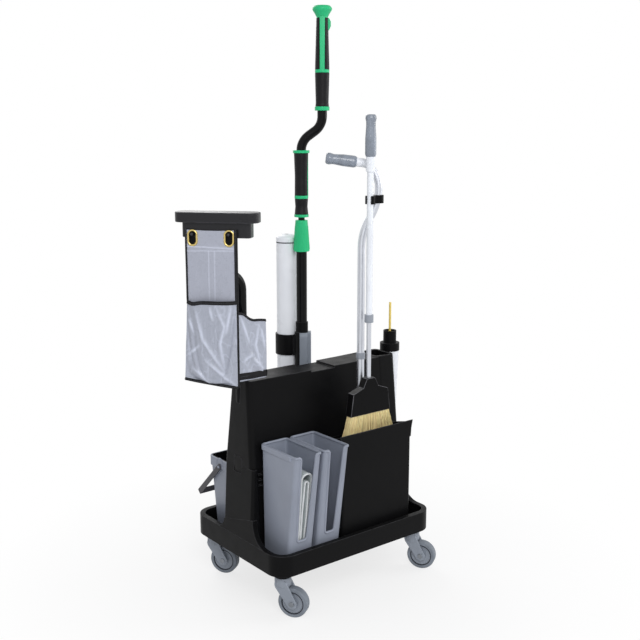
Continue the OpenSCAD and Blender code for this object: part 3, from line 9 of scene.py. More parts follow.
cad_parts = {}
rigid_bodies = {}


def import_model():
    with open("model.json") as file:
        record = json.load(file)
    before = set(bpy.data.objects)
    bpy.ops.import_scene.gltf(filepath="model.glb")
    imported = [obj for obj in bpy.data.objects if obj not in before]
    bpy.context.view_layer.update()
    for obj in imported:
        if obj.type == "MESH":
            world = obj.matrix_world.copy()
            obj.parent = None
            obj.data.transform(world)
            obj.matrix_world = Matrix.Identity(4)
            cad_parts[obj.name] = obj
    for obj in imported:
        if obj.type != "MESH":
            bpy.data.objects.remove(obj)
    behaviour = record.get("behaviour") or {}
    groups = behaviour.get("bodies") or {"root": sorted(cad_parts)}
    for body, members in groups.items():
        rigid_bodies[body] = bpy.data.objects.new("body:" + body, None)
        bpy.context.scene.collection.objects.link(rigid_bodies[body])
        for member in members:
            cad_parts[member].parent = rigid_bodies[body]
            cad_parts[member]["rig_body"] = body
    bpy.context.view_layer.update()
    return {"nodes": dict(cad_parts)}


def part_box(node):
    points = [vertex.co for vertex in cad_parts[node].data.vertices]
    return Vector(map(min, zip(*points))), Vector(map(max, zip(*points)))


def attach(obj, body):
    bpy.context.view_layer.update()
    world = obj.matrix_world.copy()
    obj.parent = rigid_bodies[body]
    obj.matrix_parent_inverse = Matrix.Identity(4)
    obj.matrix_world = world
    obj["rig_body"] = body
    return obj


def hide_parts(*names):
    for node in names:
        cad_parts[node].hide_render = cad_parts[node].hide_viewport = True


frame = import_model()


# Base tray
# The tray is one deep injection moulding in black polypropylene: a rounded rim, two wells and
# the hollow spine that the tower sits on. Its corners carry the sockets of the four casters.

def paint(r, g, b):
    """Linear colour of a screen colour given from 0 to 255."""
    shares = [c / 255 for c in (r, g, b)]
    return [s / 12.92 if s <= 0.04045 else ((s + 0.055) / 1.055) ** 2.4 for s in shares] + [1.0]


def shade(colour, share):
    """The same colour, darker or lighter."""
    return [min(1.0, c * share) for c in colour[:3]] + [1.0]


def new_finish(name):
    """A material with its shader and the place on the piece."""
    finish = bpy.data.materials.new(name)
    finish.use_nodes = True
    tree = finish.node_tree
    place = tree.nodes.new("ShaderNodeTexCoord").outputs["Object"]
    return finish, tree, tree.nodes["Principled BSDF"], place


def wire(tree, node, wires):
    """Sets a node's inputs to values, or joins them to other nodes."""
    for place, value in wires.items():
        if isinstance(value, bpy.types.NodeSocket):
            tree.links.new(value, node.inputs[place])
        else:
            node.inputs[place].default_value = value


def add_node(tree, kind, wires=None, **settings):
    """A node with its settings, and its inputs set to values or joined to other nodes."""
    node = tree.nodes.new(kind)
    for setting, value in settings.items():
        setattr(node, setting, value)
    wire(tree, node, wires or {})
    return node


def combine(tree, kind, first, second):
    """Two numbers added, subtracted or multiplied, or the larger of the two."""
    return add_node(tree, "ShaderNodeMath", {0: first, 1: second}, operation=kind).outputs["Value"]


def times(tree, first, second):
    """Two shares multiplied."""
    return combine(tree, "MULTIPLY", first, second)


noise_low, noise_high = 0.3, 0.7


def speckle(tree, place, scale, low=0.0, high=1.0, detail=3.0, stretch=None):
    """Noise over the piece, from low to high. scale is in grains for each metre."""
    if stretch:
        place = add_node(
            tree, "ShaderNodeMapping", {"Vector": place, "Scale": stretch}).outputs["Vector"]
    grain = add_node(
        tree, "ShaderNodeTexNoise", {"Vector": place, "Scale": scale, "Detail": detail})
    return add_node(tree, "ShaderNodeMapRange", {
        "Value": grain.outputs["Fac"], "From Min": noise_low, "From Max": noise_high,
        "To Min": low, "To Max": high}).outputs["Result"]


def two_tone(tree, share, first, second):
    """Colour that goes from first to second with share."""
    mix = add_node(tree, "ShaderNodeMix", data_type="RGBA")
    for name, kind, value in (("A", "RGBA", first), ("B", "RGBA", second), ("Factor", "VALUE", share)):
        place = next(k for k, s in enumerate(mix.inputs) if s.name == name and s.type == kind)
        wire(tree, mix, {place: value})
    return next(s for s in mix.outputs if s.type == "RGBA")


def raised(tree, shader, height, depth, strength=1.0):
    """Fine relief on the finish, depth in metres. A second relief adds to the first."""
    bump = add_node(
        tree, "ShaderNodeBump", {"Distance": depth, "Strength": strength, "Height": height})
    if shader.inputs["Normal"].links:
        tree.links.new(shader.inputs["Normal"].links[0].from_socket, bump.inputs["Normal"])
    tree.links.new(bump.outputs["Normal"], shader.inputs["Normal"])


def share_of(tree, name):
    """A value that the piece's own mesh carries, such as how much paler an edge is painted, for wear and
    highlight.
    """
    return add_node(tree, "ShaderNodeAttribute", attribute_name=name).outputs["Fac"]


dust_from = 0.3
dust_grey = paint(150, 150, 150)


def dust_share(tree, most):
    """How much dust lies on a face: most on one that looks up, none on an upright one."""
    facing = add_node(tree, "ShaderNodeNewGeometry")
    split = add_node(tree, "ShaderNodeSeparateXYZ", {"Vector": facing.outputs["Normal"]})
    return add_node(tree, "ShaderNodeMapRange", {
        "Value": split.outputs["Z"], "From Min": dust_from, "To Max": most}).outputs["Result"]


def moulded_plastic(name, colour, gloss, grain=1100, edge=1.35, dust=0.0, shine=0.5,
                    cloud=7, mottle=0.08, stretch=None):
    """Injection-moulded plastic: a faint cloudiness, a fine skin, and edges painted paler as wear and as
    painted highlight.
    """
    finish, tree, shader, place = new_finish(name)
    clouds = speckle(tree, place, cloud, stretch=stretch)
    body = two_tone(tree, clouds, shade(colour, 1 - mottle), shade(colour, 1 + mottle))
    # Bevel faces are painted paler by the edge factor: a little edge wear, and on the black plastics mostly
    # a painted highlight.
    rubbed_and_highlit = times(tree, share_of(tree, "edge"), speckle(tree, place, 60, low=0.25))
    body = two_tone(tree, rubbed_and_highlit, body, shade(colour, edge))
    if dust:
        patchy = times(tree, dust_share(tree, dust), speckle(tree, place, 24, low=0.3))
        body = two_tone(tree, patchy, body, dust_grey)
    wire(tree, shader, {
        "Base Color": body, "Specular IOR Level": shine,
        "Roughness": speckle(tree, place, 30, gloss - 0.05, gloss + 0.07, detail=6)})
    raised(tree, shader, speckle(tree, place, 14), 0.0006, 0.35)
    raised(tree, shader, speckle(tree, place, grain), 0.00008, 0.6)
    return finish


def put(name, data):
    """A mesh, a lamp or a camera as an object of the scene."""
    thing = bpy.data.objects.new(name, data)
    bpy.context.scene.collection.objects.link(thing)
    return thing


def keep_shape(piece):
    """Makes what the piece's modifiers give its plain mesh, and removes them."""
    bpy.context.view_layer.update()
    shown = bpy.context.evaluated_depsgraph_get()
    made = bpy.data.meshes.new_from_object(
        piece.evaluated_get(shown), preserve_all_data_layers=True, depsgraph=shown)
    piece.modifiers.clear()
    piece.data = made


def dress(piece, finish, body):
    """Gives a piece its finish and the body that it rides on."""
    piece.data.materials.clear()
    piece.data.materials.append(finish)
    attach(piece, body)


weld_gap = 2e-6
flat_turn = math.radians(0.7)
corner_turn = math.radians(32)
crisp_turn = math.radians(38)


def rounded_copy(node, radius, finish):
    """A node's own shape with its edges rounded over, standing for the node."""
    mesh = frame["nodes"][node].data.copy()
    shape = bmesh.new()
    shape.from_mesh(mesh)
    bmesh.ops.remove_doubles(shape, verts=shape.verts, dist=weld_gap)
    bmesh.ops.dissolve_limit(shape, angle_limit=flat_turn, verts=shape.verts, edges=shape.edges)
    for face in shape.faces:
        face.smooth = True
    edge_wear_and_highlight = shape.faces.layers.float.new("edge")
    if radius:
        skin = BVHTree.FromBMesh(shape)
        corners = [
            e for e in shape.edges
            if len(e.link_faces) == 2 and e.calc_face_angle(0) > corner_turn
        ]
        made = bmesh.ops.bevel(
            shape, geom=corners, offset=radius, offset_type="OFFSET", segments=2,
            profile=0.5, affect="EDGES", clamp_overlap=False)
        # Bevel faces are marked for the finish to paint paler, as edge wear and painted highlight.
        for face in made["faces"]:
            face[edge_wear_and_highlight] = 1.0
            face.smooth = True
        # A point that the bevel threw clear of the solid goes back to its nearest face.
        bmesh.ops.triangulate(shape, faces=[f for f in shape.faces if len(f.verts) > 4])
        for vertex in shape.verts:
            nearest, _, _, gap = skin.find_nearest(vertex.co)
            if gap > radius:
                vertex.co = nearest
    shape.to_mesh(mesh)
    shape.free()
    mesh.set_sharp_from_angle(angle=crisp_turn)
    piece = put(node + "_body", mesh)
    level = piece.modifiers.new("flat faces", "WEIGHTED_NORMAL")
    level.keep_sharp = True
    keep_shape(piece)
    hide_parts(node)
    dress(piece, finish, frame["nodes"][node]["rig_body"])
    return piece


cart_black = paint(14, 14, 15)
# edge=11 paints the rounded edges much paler: a painted highlight along the rims, with a little wear.
black_plastic = moulded_plastic(
    "black moulded plastic", cart_black, 0.38, edge=11.0, dust=0.006, shine=0.07)
rounded_copy("base_tray", 0.0008, black_plastic)


# Casters
# Four swivel casters: a grey nylon fork that turns on a steel stem pressed into the tray, and
# a grey wheel with a moulded rubber tyre that runs on a steel axle with riveted heads.

def brushed_metal(name, colour, gloss, along, streak=0.35):
    """Drawn or turned metal, with fine lines along one axis of the piece."""
    finish, tree, shader, place = new_finish(name)
    lines = speckle(tree, place, 900, detail=2, stretch=along)
    tone = two_tone(tree, lines, shade(colour, 1 - streak / 2), shade(colour, 1 + streak / 3))
    wire(tree, shader, {
        "Base Color": tone, "Metallic": 1.0,
        "Roughness": speckle(tree, place, 40, gloss - 0.05, gloss + 0.08)})
    raised(tree, shader, lines, 0.00003, 0.5)
    return finish


def soft_rubber(name, colour, gloss, shine=0.3):
    """Rubber: matt, with a dry bloom and a little dirt in its skin."""
    finish, tree, shader, place = new_finish(name)
    bloom = speckle(tree, place, 35, detail=5)
    wire(tree, shader, {
        "Base Color": two_tone(tree, bloom, shade(colour, 0.85), shade(colour, 1.12)),
        "Roughness": speckle(tree, place, 80, gloss - 0.08, gloss + 0.08),
        "Specular IOR Level": shine})
    raised(tree, shader, speckle(tree, place, 700), 0.0001, 0.8)
    return finish


def join_rings(shape, first, second):
    """Faces between two rings of points."""
    for m in range(len(first)):
        n = (m + 1) % len(first)
        shape.faces.new((first[m], first[n], second[n], second[m]))


def drawn(name, shape, finish, body, crisp=60):
    """The piece that a drawn shape makes, smooth except at its sharp edges."""
    bmesh.ops.recalc_face_normals(shape, faces=shape.faces)
    mesh = bpy.data.meshes.new(name)
    shape.to_mesh(mesh)
    shape.free()
    mesh.shade_smooth()
    mesh.set_sharp_from_angle(angle=math.radians(crisp))
    piece = put(name, mesh)
    dress(piece, finish, body)
    return piece


def turned_ring(name, outline, spots, axis_frame, finish, body, stretch=0.0, segments=48):
    """A ring turned from an outline of radius and height about -Y at each of the spots.

    With stretch it is an oval, that much longer along Z.
    """
    shape = bmesh.new()
    for spot in spots:
        rings = []
        for k in range(segments):
            a = 2 * math.pi * (k + 0.5) / segments
            rise = spot[2] + math.copysign(stretch / 2, math.sin(a))
            rings.append([
                shape.verts.new(
                    axis_frame @ Vector((
                        spot[0] + r * math.cos(a), spot[1] - h, rise + r * math.sin(a))))
                for r, h in outline])
        for k in range(segments):
            join_rings(shape, rings[k], rings[(k + 1) % segments])
    return drawn(name, shape, finish, body)


caster_grey = moulded_plastic("grey nylon", paint(140, 147, 158), 0.34, edge=1.2, dust=0.03, shine=0.4)
tyre_grey = soft_rubber("grey tyre rubber", paint(126, 133, 143), 0.55)
seam_dark_and_hole_shade = soft_rubber("dark seam and hole shade", paint(40, 44, 52), 0.6)
bright_steel = brushed_metal("bright steel", paint(214, 216, 220), 0.22, (1, 1, 0.05))
dull_steel = brushed_metal("dull steel", paint(132, 136, 142), 0.42, (1, 1, 0.05))
caster_turn = math.radians(-58)
hub_r = 0.028
tyre_half = 0.011
seam_in, seam_out = hub_r - 0.0018, hub_r + 0.0005
seam_deep, seam_proud = tyre_half - 0.003, tyre_half + 0.0002
at_origin = [(0.0, 0.0, 0.0)]
rounded_copy("caster_stems", 0.0004, bright_steel)
for corner in ("fl", "fr", "rl", "rr"):
    rounded_copy("caster_fork_" + corner, 0.0012, caster_grey)
    rounded_copy("wheel_axle_" + corner, 0.0006, dull_steel)
    rounded_copy("wheel_hub_" + corner, 0.0006, caster_grey)
    rounded_copy("wheel_tyre_" + corner, 0.0008, tyre_grey)
    wheel_low, wheel_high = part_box("wheel_tyre_" + corner)
    wheel_middle = (wheel_low + wheel_high) / 2
    wheel_frame = Matrix.Translation(wheel_middle) @ Matrix.Rotation(caster_turn, 4, "Z")
    for side, face in ((-1, "inner"), (1, "outer")):
        turned_ring(
            "wheel_seam_%s_%s" % (corner, face),
            [(seam_in, side * seam_deep), (seam_out, side * seam_deep),
             (seam_out, side * seam_proud), (seam_in, side * seam_proud)],
            at_origin, wheel_frame, seam_dark_and_hole_shade, "wheel_" + corner)


# Tower
# The tower is a black moulded shell that drops over the tray's spine and is held by two
# sprung latches. Its right end is an open column for tools.

rounded_copy("tower", 0.0011, black_plastic)
rounded_copy("tower_latches", 0.0008, black_plastic)


# Bins
# Two slim grey bins stand in the front well, moulded in polypropylene. A round bead stiffens
# the rim and runs on down both sides of the slot in the front.

def rounded_path(corners, radius, steps=6):
    """A closed run of points through the corners, each corner rounded over."""
    points = []
    for k, corner in enumerate(corners):
        before = corners[k - 1] - corner
        after = corners[(k + 1) % len(corners)] - corner
        start = corner + before.normalized() * min(radius, before.length * 0.49)
        end = corner + after.normalized() * min(radius, after.length * 0.49)
        for m in range(steps + 1):
            t = m / steps
            points.append(start * (1 - t) ** 2 + corner * (2 * t * (1 - t)) + end * t ** 2)
    return points


def tube(name, runs, radius, finish, body, closed=False, sides=10):
    """A round bead along each run of points."""
    shape = bmesh.new()
    for points in runs:
        rings = []
        count = len(points)
        side = None
        for k, point in enumerate(points):
            if closed:
                ahead = points[(k + 1) % count] - points[k - 1]
            else:
                ahead = points[min(k + 1, count - 1)] - points[max(k - 1, 0)]
            ahead.normalize()
            if side is None:
                side = ahead.orthogonal()
            side = (side - ahead * side.dot(ahead)).normalized()
            up = ahead.cross(side)
            rings.append([
                shape.verts.new(
                    point + (side * math.cos(a) + up * math.sin(a)) * radius)
                for a in (2 * math.pi * m / sides for m in range(sides))])
        pairs = list(zip(rings, rings[1:]))
        if closed:
            first, last = rings[0], rings[-1]
            shift = min(range(sides), key=lambda s: (first[s].co - last[0].co).length)
            pairs.append((last, first[shift:] + first[:shift]))
        else:
            shape.faces.new(rings[0][::-1])
            shape.faces.new(rings[-1])
        for first, second in pairs:
            join_rings(shape, first, second)
    return drawn(name, shape, finish, body)


bin_grey = moulded_plastic("grey bin plastic", paint(140, 146, 160), 0.36, edge=1.25, dust=0.02, shine=0.35)
bin_wall = 0.0026
rim_inset = 0.003
foot_inset, foot_deep = 0.004, 0.102
slot_foot_half, slot_top_half, slot_rise = 0.0155, 0.0225, 0.058
slot_narrow = 0.9
bead_r, bead_drop, bead_bend = 0.0034, 0.001, 0.0085
for bin_name in ("bin_left", "bin_right"):
    rounded_copy(bin_name, 0.001, bin_grey)
    bin_low, bin_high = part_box(bin_name)
    middle_x = (bin_low.x + bin_high.x) / 2
    rim_half = (bin_high.x - bin_low.x) / 2 - rim_inset - bin_wall / 2
    rim_back = bin_high.y - rim_inset - bin_wall / 2
    rim_front = bin_low.y + bin_wall / 2
    foot_front = bin_high.y - foot_inset - foot_deep + bin_wall / 2
    rim_z = bin_high.z - bead_drop
    slot_foot_z = bin_low.z + slot_rise

    def on_front(x, z):
        """A place on the bin's leaning front wall."""
        rise = (z - bin_low.z) / (bin_high.z - bin_low.z)
        return Vector((middle_x + x, foot_front + (rim_front - foot_front) * rise, z))

    rim_and_slot = [
        on_front(slot_top_half, rim_z), on_front(rim_half, rim_z),
        Vector((middle_x + rim_half, rim_back, rim_z)), Vector((middle_x - rim_half, rim_back, rim_z)),
        on_front(-rim_half, rim_z), on_front(-slot_top_half, rim_z),
        on_front(-slot_foot_half, slot_foot_z + slot_foot_half),
        on_front(-slot_foot_half * slot_narrow, slot_foot_z),
        on_front(slot_foot_half * slot_narrow, slot_foot_z),
        on_front(slot_foot_half, slot_foot_z + slot_foot_half),
    ]
    tube(
        bin_name + "_bead", [rounded_path(rim_and_slot, bead_bend)], bead_r, bin_grey,
        bin_name, closed=True)


# Folded cloth
# A thin microfibre cloth, folded into a double hairpin and stood on edge in the left bin, with
# its white overlocked hem at the slot.

def ease(start, end, value):
    """Smooth step from 0 at start to 1 at end."""
    t = max(0.0, min(1.0, (value - start) / (end - start)))
    return t * t * (3 - 2 * t)


def sewn_sheet(name, columns, rows, width, length, at):
    """A sheet of fabric lofted through at(u, v), with its weave laid out in metres."""
    points = [at(i / columns, j / rows) for j in range(rows + 1) for i in range(columns + 1)]
    wide = columns + 1
    faces = [
        (j * wide + i, (j + 1) * wide + i, (j + 1) * wide + i + 1, j * wide + i + 1)
        for j in range(rows) for i in range(columns)
    ]
    mesh = bpy.data.meshes.new(name)
    mesh.from_pydata(points, [], faces)
    weave = mesh.uv_layers.new(name="weave")
    for loop in mesh.loops:
        j, i = divmod(loop.vertex_index, wide)
        weave.data[loop.index].uv = (width * i / columns, -length * j / rows)
    mesh.shade_smooth()
    return put(name, mesh)


def thick_sheet(piece, thickness, levels=1):
    """Gives a settled sheet its thickness and smooths it."""
    smooth = piece.modifiers.new("smooth", "SUBSURF")
    smooth.levels = smooth.render_levels = levels
    wall = piece.modifiers.new("wall", "SOLIDIFY")
    wall.thickness = thickness
    wall.offset = 0.0
    keep_shape(piece)
    piece.data.shade_smooth()


def looped_fabric(name, colour, loop):
    """Microfibre: short tufted loops, matt, with a soft sheen."""
    finish, tree, shader, place = new_finish(name)
    tufts = speckle(tree, place, 1 / loop, detail=2)
    soil = speckle(tree, place, 18, detail=4)
    body = two_tone(tree, tufts, shade(colour, 0.82), shade(colour, 1.1))
    body = two_tone(tree, times(tree, soil, 0.25), body, shade(colour, 0.72))
    wire(tree, shader, {
        "Base Color": body, "Roughness": speckle(tree, place, 90, 0.8, 0.95),
        "Specular IOR Level": 0.2, "Sheen Weight": 0.3})
    raised(tree, shader, tufts, loop * 0.5, 0.8)
    return finish


cloth_low, cloth_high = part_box("folded_cloth")
cloth_x = (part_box("bin_left")[0].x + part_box("bin_left")[1].x) / 2
fold_out, fold_in = 0.0145, 0.0066
cloth_rise = cloth_high.z - cloth_low.z
cloth_t, hem_r = 0.0034, 0.0025
cloth_lean, cloth_reach = 0.006, 0.020
cloth_ripple, cloth_slump, cloth_pinch = 0.003, 0.004, 0.2
cloth_front, cloth_back = cloth_low.y - 0.002, cloth_high.y


def arch(half, top, start_z, steps=16):
    """Points up one side, over a round fold and down the other, in X and Z."""
    straight = [Vector((-half, start_z + (top - half - start_z) * k / steps)) for k in range(steps)]
    bend = [
        Vector((-half * math.cos(math.pi * k / steps), top - half + half * math.sin(math.pi * k / steps)))
        for k in range(steps + 1)]
    return straight + bend + [Vector((-p.x, p.y)) for p in straight[::-1]]


fold_line = arch(fold_out, cloth_rise - 0.002, 0.003) + [
    Vector(((fold_out + fold_in) / 2, 0.002))] + [
    Vector((-p.x, p.y)) for p in arch(fold_in, cloth_rise * 0.9, 0.004)]
fold_length = sum((b - a).length for a, b in zip(fold_line, fold_line[1:]))


def cloth_at(u, v):
    """A place u along the fold and v of the way from the cloth's back to its hem."""
    spot = fold_line[round(u * (len(fold_line) - 1))]
    high = spot.y / cloth_rise
    ripple = cloth_ripple * noise.noise(Vector((u * 9.0, 0.0, 4.2)))
    front = cloth_front - cloth_reach * high + ripple
    y = cloth_back + (front - cloth_back) * v
    slump = cloth_slump * high * noise.noise(Vector((high * 2.2, y * 14.0, 7.7)))
    x = cloth_x + cloth_lean * (1 + high) + spot.x * (1 - cloth_pinch * v * (1 - high))
    return Vector((x + slump, y, cloth_low.z + spot.y))


cloth_pale = looped_fabric("pale microfibre", paint(186, 196, 198), 0.0011)
hem_white = looped_fabric("white hem", paint(234, 238, 240), 0.0008)
folded_cloth = sewn_sheet(
    "folded_cloth_soft", len(fold_line) - 1, 14, fold_length, cloth_back - cloth_front, cloth_at)
thick_sheet(folded_cloth, cloth_t, levels=0)
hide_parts("folded_cloth")
dress(folded_cloth, cloth_pale, "bin_left")
hem_run = [cloth_at(k / (len(fold_line) - 1), 1.0) for k in range(len(fold_line))]
cloth_hem = tube("folded_cloth_hem", [hem_run], hem_r, hem_white, "bin_left", sides=8)


# Bucket
# A small square bucket in the same grey plastic, with a deep collar and a disc at each side for
# the bail's pins. A black band sits in its mouth and darkens the inside there, and the flat bail hangs
# behind it.

bail_dark = moulded_plastic("dark bail plastic", paint(58, 57, 62), 0.36, edge=1.7, shine=0.3)
rounded_copy("bucket", 0.0014, bin_grey)
# A black band darkens the inside of the bucket's mouth.
rounded_copy("bucket_band", 0.0006, black_plastic)
rounded_copy("bucket_bail", 0.0012, bail_dark)


# Dustpan
# An upright lobby pan: a black moulded scoop on a bent aluminium tube, with a grey sleeve, a
# white elbow, a grey hand grip and a clip that holds the broom.

# The strong stretched mottle paints pale stripes along the grips: painted highlights.
grip_grey_with_painted_highlights = moulded_plastic(
    "grey grip plastic", paint(128, 136, 148), 0.16, edge=1.15, shine=0.5,
    cloud=55, mottle=0.32, stretch=(1, 1, 0.2))
sleeve_grey = moulded_plastic("pale grey sleeve", paint(146, 152, 162), 0.4, edge=1.1)
white_plastic = moulded_plastic("white plastic", paint(238, 241, 248), 0.3, edge=1.03, shine=0.4)
aluminium = brushed_metal("aluminium tube", paint(208, 211, 218), 0.34, (1, 1, 0.02), streak=0.2)
rounded_copy("pan_shell", 0.0015, black_plastic)
rounded_copy("pan_tube", 0.0, aluminium)
rounded_copy("pan_sleeve", 0.0008, sleeve_grey)
rounded_copy("pan_elbow", 0.0008, white_plastic)
rounded_copy("pan_grip", 0.0012, grip_grey_with_painted_highlights)
rounded_copy("broom_clip", 0.0003, black_plastic)


# Broom
# The broom clips to the pan's tube: a black moulded head with straw-coloured fibre, a white
# enamelled tube with a grey sleeve, a collar at the top and a grey grip.

def grown(name, base, sizes, grow, finish, body):
    """The piece that a geometry tree grows from a base mesh with these named sizes."""
    tree = bpy.data.node_groups.new(name, "GeometryNodeTree")
    tree.interface.new_socket("Geometry", in_out="INPUT", socket_type="NodeSocketGeometry")
    for size, value in sizes.items():
        kind = "NodeSocketFloat" if isinstance(value, float) else "NodeSocketVector"
        tree.interface.new_socket(size, in_out="INPUT", socket_type=kind)
    tree.interface.new_socket("Geometry", in_out="OUTPUT", socket_type="NodeSocketGeometry")
    inside = tree.nodes.new("NodeGroupInput")
    outside = tree.nodes.new("NodeGroupOutput")
    made = grow(tree, {socket.name: socket for socket in inside.outputs})
    whole = add_node(tree, "GeometryNodeRealizeInstances", {"Geometry": made})
    dressed = add_node(
        tree, "GeometryNodeSetMaterial", {"Geometry": whole.outputs["Geometry"], "Material": finish})
    tree.links.new(dressed.outputs["Geometry"], outside.inputs["Geometry"])
    piece = put(name, base)
    growth = piece.modifiers.new("growth", "NODES")
    growth.node_group = tree
    for item in tree.interface.items_tree:
        if item.in_out == "INPUT" and item.name in sizes:
            growth[item.identifier] = sizes[item.name]
    keep_shape(piece)
    dress(piece, finish, body)
    return piece


def spread(tree, low, high, seed):
    """A random number for each point, from low to high."""
    chance = add_node(tree, "FunctionNodeRandomValue", data_type="FLOAT")
    chance.inputs[2].default_value = low
    chance.inputs[3].default_value = high
    chance.inputs["Seed"].default_value = seed
    return next(socket for socket in chance.outputs if socket.enabled)


strands_along, strands_across = 104, 8
strand_root, strand_tip = 0.0009, 0.0005


def bristle_fan(tree, given):
    """Rows of tapered strands that hang from the head and lean outwards."""
    roots = add_node(tree, "GeometryNodeMeshGrid", {
        "Size X": given["Width"], "Size Y": given["Depth"],
        "Vertices X": strands_along, "Vertices Y": strands_across})
    astray = add_node(tree, "ShaderNodeCombineXYZ", {
        "X": spread(tree, -0.0007, 0.0007, 3), "Y": spread(tree, -0.001, 0.001, 4)})
    loose = add_node(tree, "GeometryNodeSetPosition", {
        "Geometry": roots.outputs["Mesh"], "Offset": astray.outputs["Vector"]})
    here = add_node(tree, "ShaderNodeSeparateXYZ", {
        "Vector": add_node(tree, "GeometryNodeInputPosition").outputs["Position"]})
    lean = combine(tree, "MULTIPLY", here.outputs["X"], given["Lean"])
    turn = add_node(tree, "ShaderNodeCombineXYZ", {
        "X": combine(tree, "ADD", spread(tree, -0.05, 0.05, 5), math.pi),
        "Y": combine(tree, "SUBTRACT", spread(tree, -0.035, 0.035, 6), lean)})
    strand = add_node(tree, "GeometryNodeMeshCone", {
        "Vertices": 5, "Radius Top": strand_tip, "Radius Bottom": strand_root, "Depth": given["Length"]})
    fan = add_node(tree, "GeometryNodeInstanceOnPoints", {
        "Points": loose.outputs["Geometry"], "Instance": strand.outputs["Mesh"],
        "Rotation": turn.outputs["Vector"], "Scale": spread(tree, 0.95, 1.02, 7)})
    toned = add_node(tree, "GeometryNodeStoreNamedAttribute", {
        "Geometry": fan.outputs["Instances"], "Name": "tone", "Value": spread(tree, 0.0, 1.0, 9)},
        data_type="FLOAT", domain="INSTANCE")
    whole = add_node(tree, "GeometryNodeRealizeInstances", {"Geometry": toned.outputs["Geometry"]})
    return add_node(tree, "GeometryNodeTransform", {
        "Geometry": whole.outputs["Geometry"], "Translation": given["Place"]}).outputs["Geometry"]


def fibre(name, colour):
    """Dull fibre strands, each of its own tone, with dark brown stripes across the fan that are painted
    shade for the gaps between strands.
    """
    finish, tree, shader, place = new_finish(name)
    tone = two_tone(tree, share_of(tree, "tone"), shade(colour, 0.9), shade(colour, 1.15))
    gap_shade_streaks = speckle(tree, place, 230, detail=1, stretch=(2.3, 0.1, 0.06))
    # The dark brown stripes are painted shade for the gaps between strands.
    tone = two_tone(tree, times(tree, gap_shade_streaks, 0.42), tone, paint(136, 96, 50))
    wire(tree, shader, {
        "Base Color": tone, "Roughness": speckle(tree, place, 200, 0.5, 0.7),
        "Specular IOR Level": 0.3})
    raised(tree, shader, gap_shade_streaks, 0.0001, 0.5)
    return finish


white_enamel = moulded_plastic("white enamel", paint(236, 240, 248), 0.22, grain=300, edge=1.03)
straw = fibre("straw fibre", paint(255, 232, 176))
# edge=34 paints pale highlight lines along the broom head's rounded edges.
head_black = moulded_plastic("glossy black plastic", cart_black, 0.3, edge=34.0, shine=0.06)
rounded_copy("broom_head", 0.0012, head_black)
rounded_copy("broom_rod", 0.0004, aluminium)
rounded_copy("broom_sleeve", 0.0008, sleeve_grey)
rounded_copy("broom_tube", 0.0004, white_enamel)
rounded_copy("broom_collar", 0.0008, white_enamel)
rounded_copy("broom_grip", 0.0012, grip_grey_with_painted_highlights)
fibre_low, fibre_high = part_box("broom_bristles")
fibre_size = fibre_high - fibre_low
fibre_middle = (fibre_low + fibre_high) / 2
fan_w, fan_deep = 0.125, 0.016
bristles = grown(
    "broom_bristles_soft", bpy.data.meshes.new("bristle roots"), {
        "Width": fan_w, "Depth": fan_deep, "Length": fibre_size.z - 0.001,
        "Lean": (fibre_size.x - fan_w) / (fan_w * fibre_size.z),
        "Place": (fibre_middle.x, fibre_middle.y, fibre_high.z - 0.0005)},
    bristle_fan, straw, "broom")
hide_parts("broom_bristles")


# Mop
# A flat mop stands in the rear well: a microfibre pad on a plate and cross joint, a black lower
# tube with a bottle in its cradle, and a bent upper tube with two rubber grips over green cores.

def collar_ribs(tree, given):
    """Slim ribs round the collar, each leaning in with its cone."""
    count = 26
    ring = add_node(tree, "GeometryNodeMeshCircle", {"Vertices": count, "Radius": given["Radius"]})
    rib = add_node(tree, "GeometryNodeMeshCone", {
        "Vertices": 8, "Radius Top": 0.0009, "Radius Bottom": 0.0014, "Depth": given["Length"]})
    index = add_node(tree, "GeometryNodeInputIndex")
    turn = add_node(tree, "ShaderNodeCombineXYZ", {
        "Y": given["Lean"],
        "Z": combine(tree, "MULTIPLY", index.outputs["Index"], 2 * math.pi / count)})
    placed = add_node(tree, "GeometryNodeInstanceOnPoints", {
        "Points": ring.outputs["Mesh"], "Instance": rib.outputs["Mesh"],
        "Rotation": turn.outputs["Vector"]})
    whole = add_node(tree, "GeometryNodeRealizeInstances", {"Geometry": placed.outputs["Instances"]})
    return add_node(tree, "GeometryNodeTransform", {
        "Geometry": whole.outputs["Geometry"], "Translation": given["Place"]}).outputs["Geometry"]


def run_cloth(piece, steps):
    """Runs the piece's cloth from frame 1 and keeps the shape that it ends in."""
    for step in range(1, steps + 1):
        bpy.context.scene.frame_set(step)
    keep_shape(piece)
    bpy.context.scene.frame_set(1)


def hold_back(piece, start, most):
    """Pulls back each point that went further than most from where it started."""
    for vertex, place in zip(piece.data.vertices, start):
        moved = vertex.co - place
        if moved.length > most:
            vertex.co = place + moved * (most / moved.length)


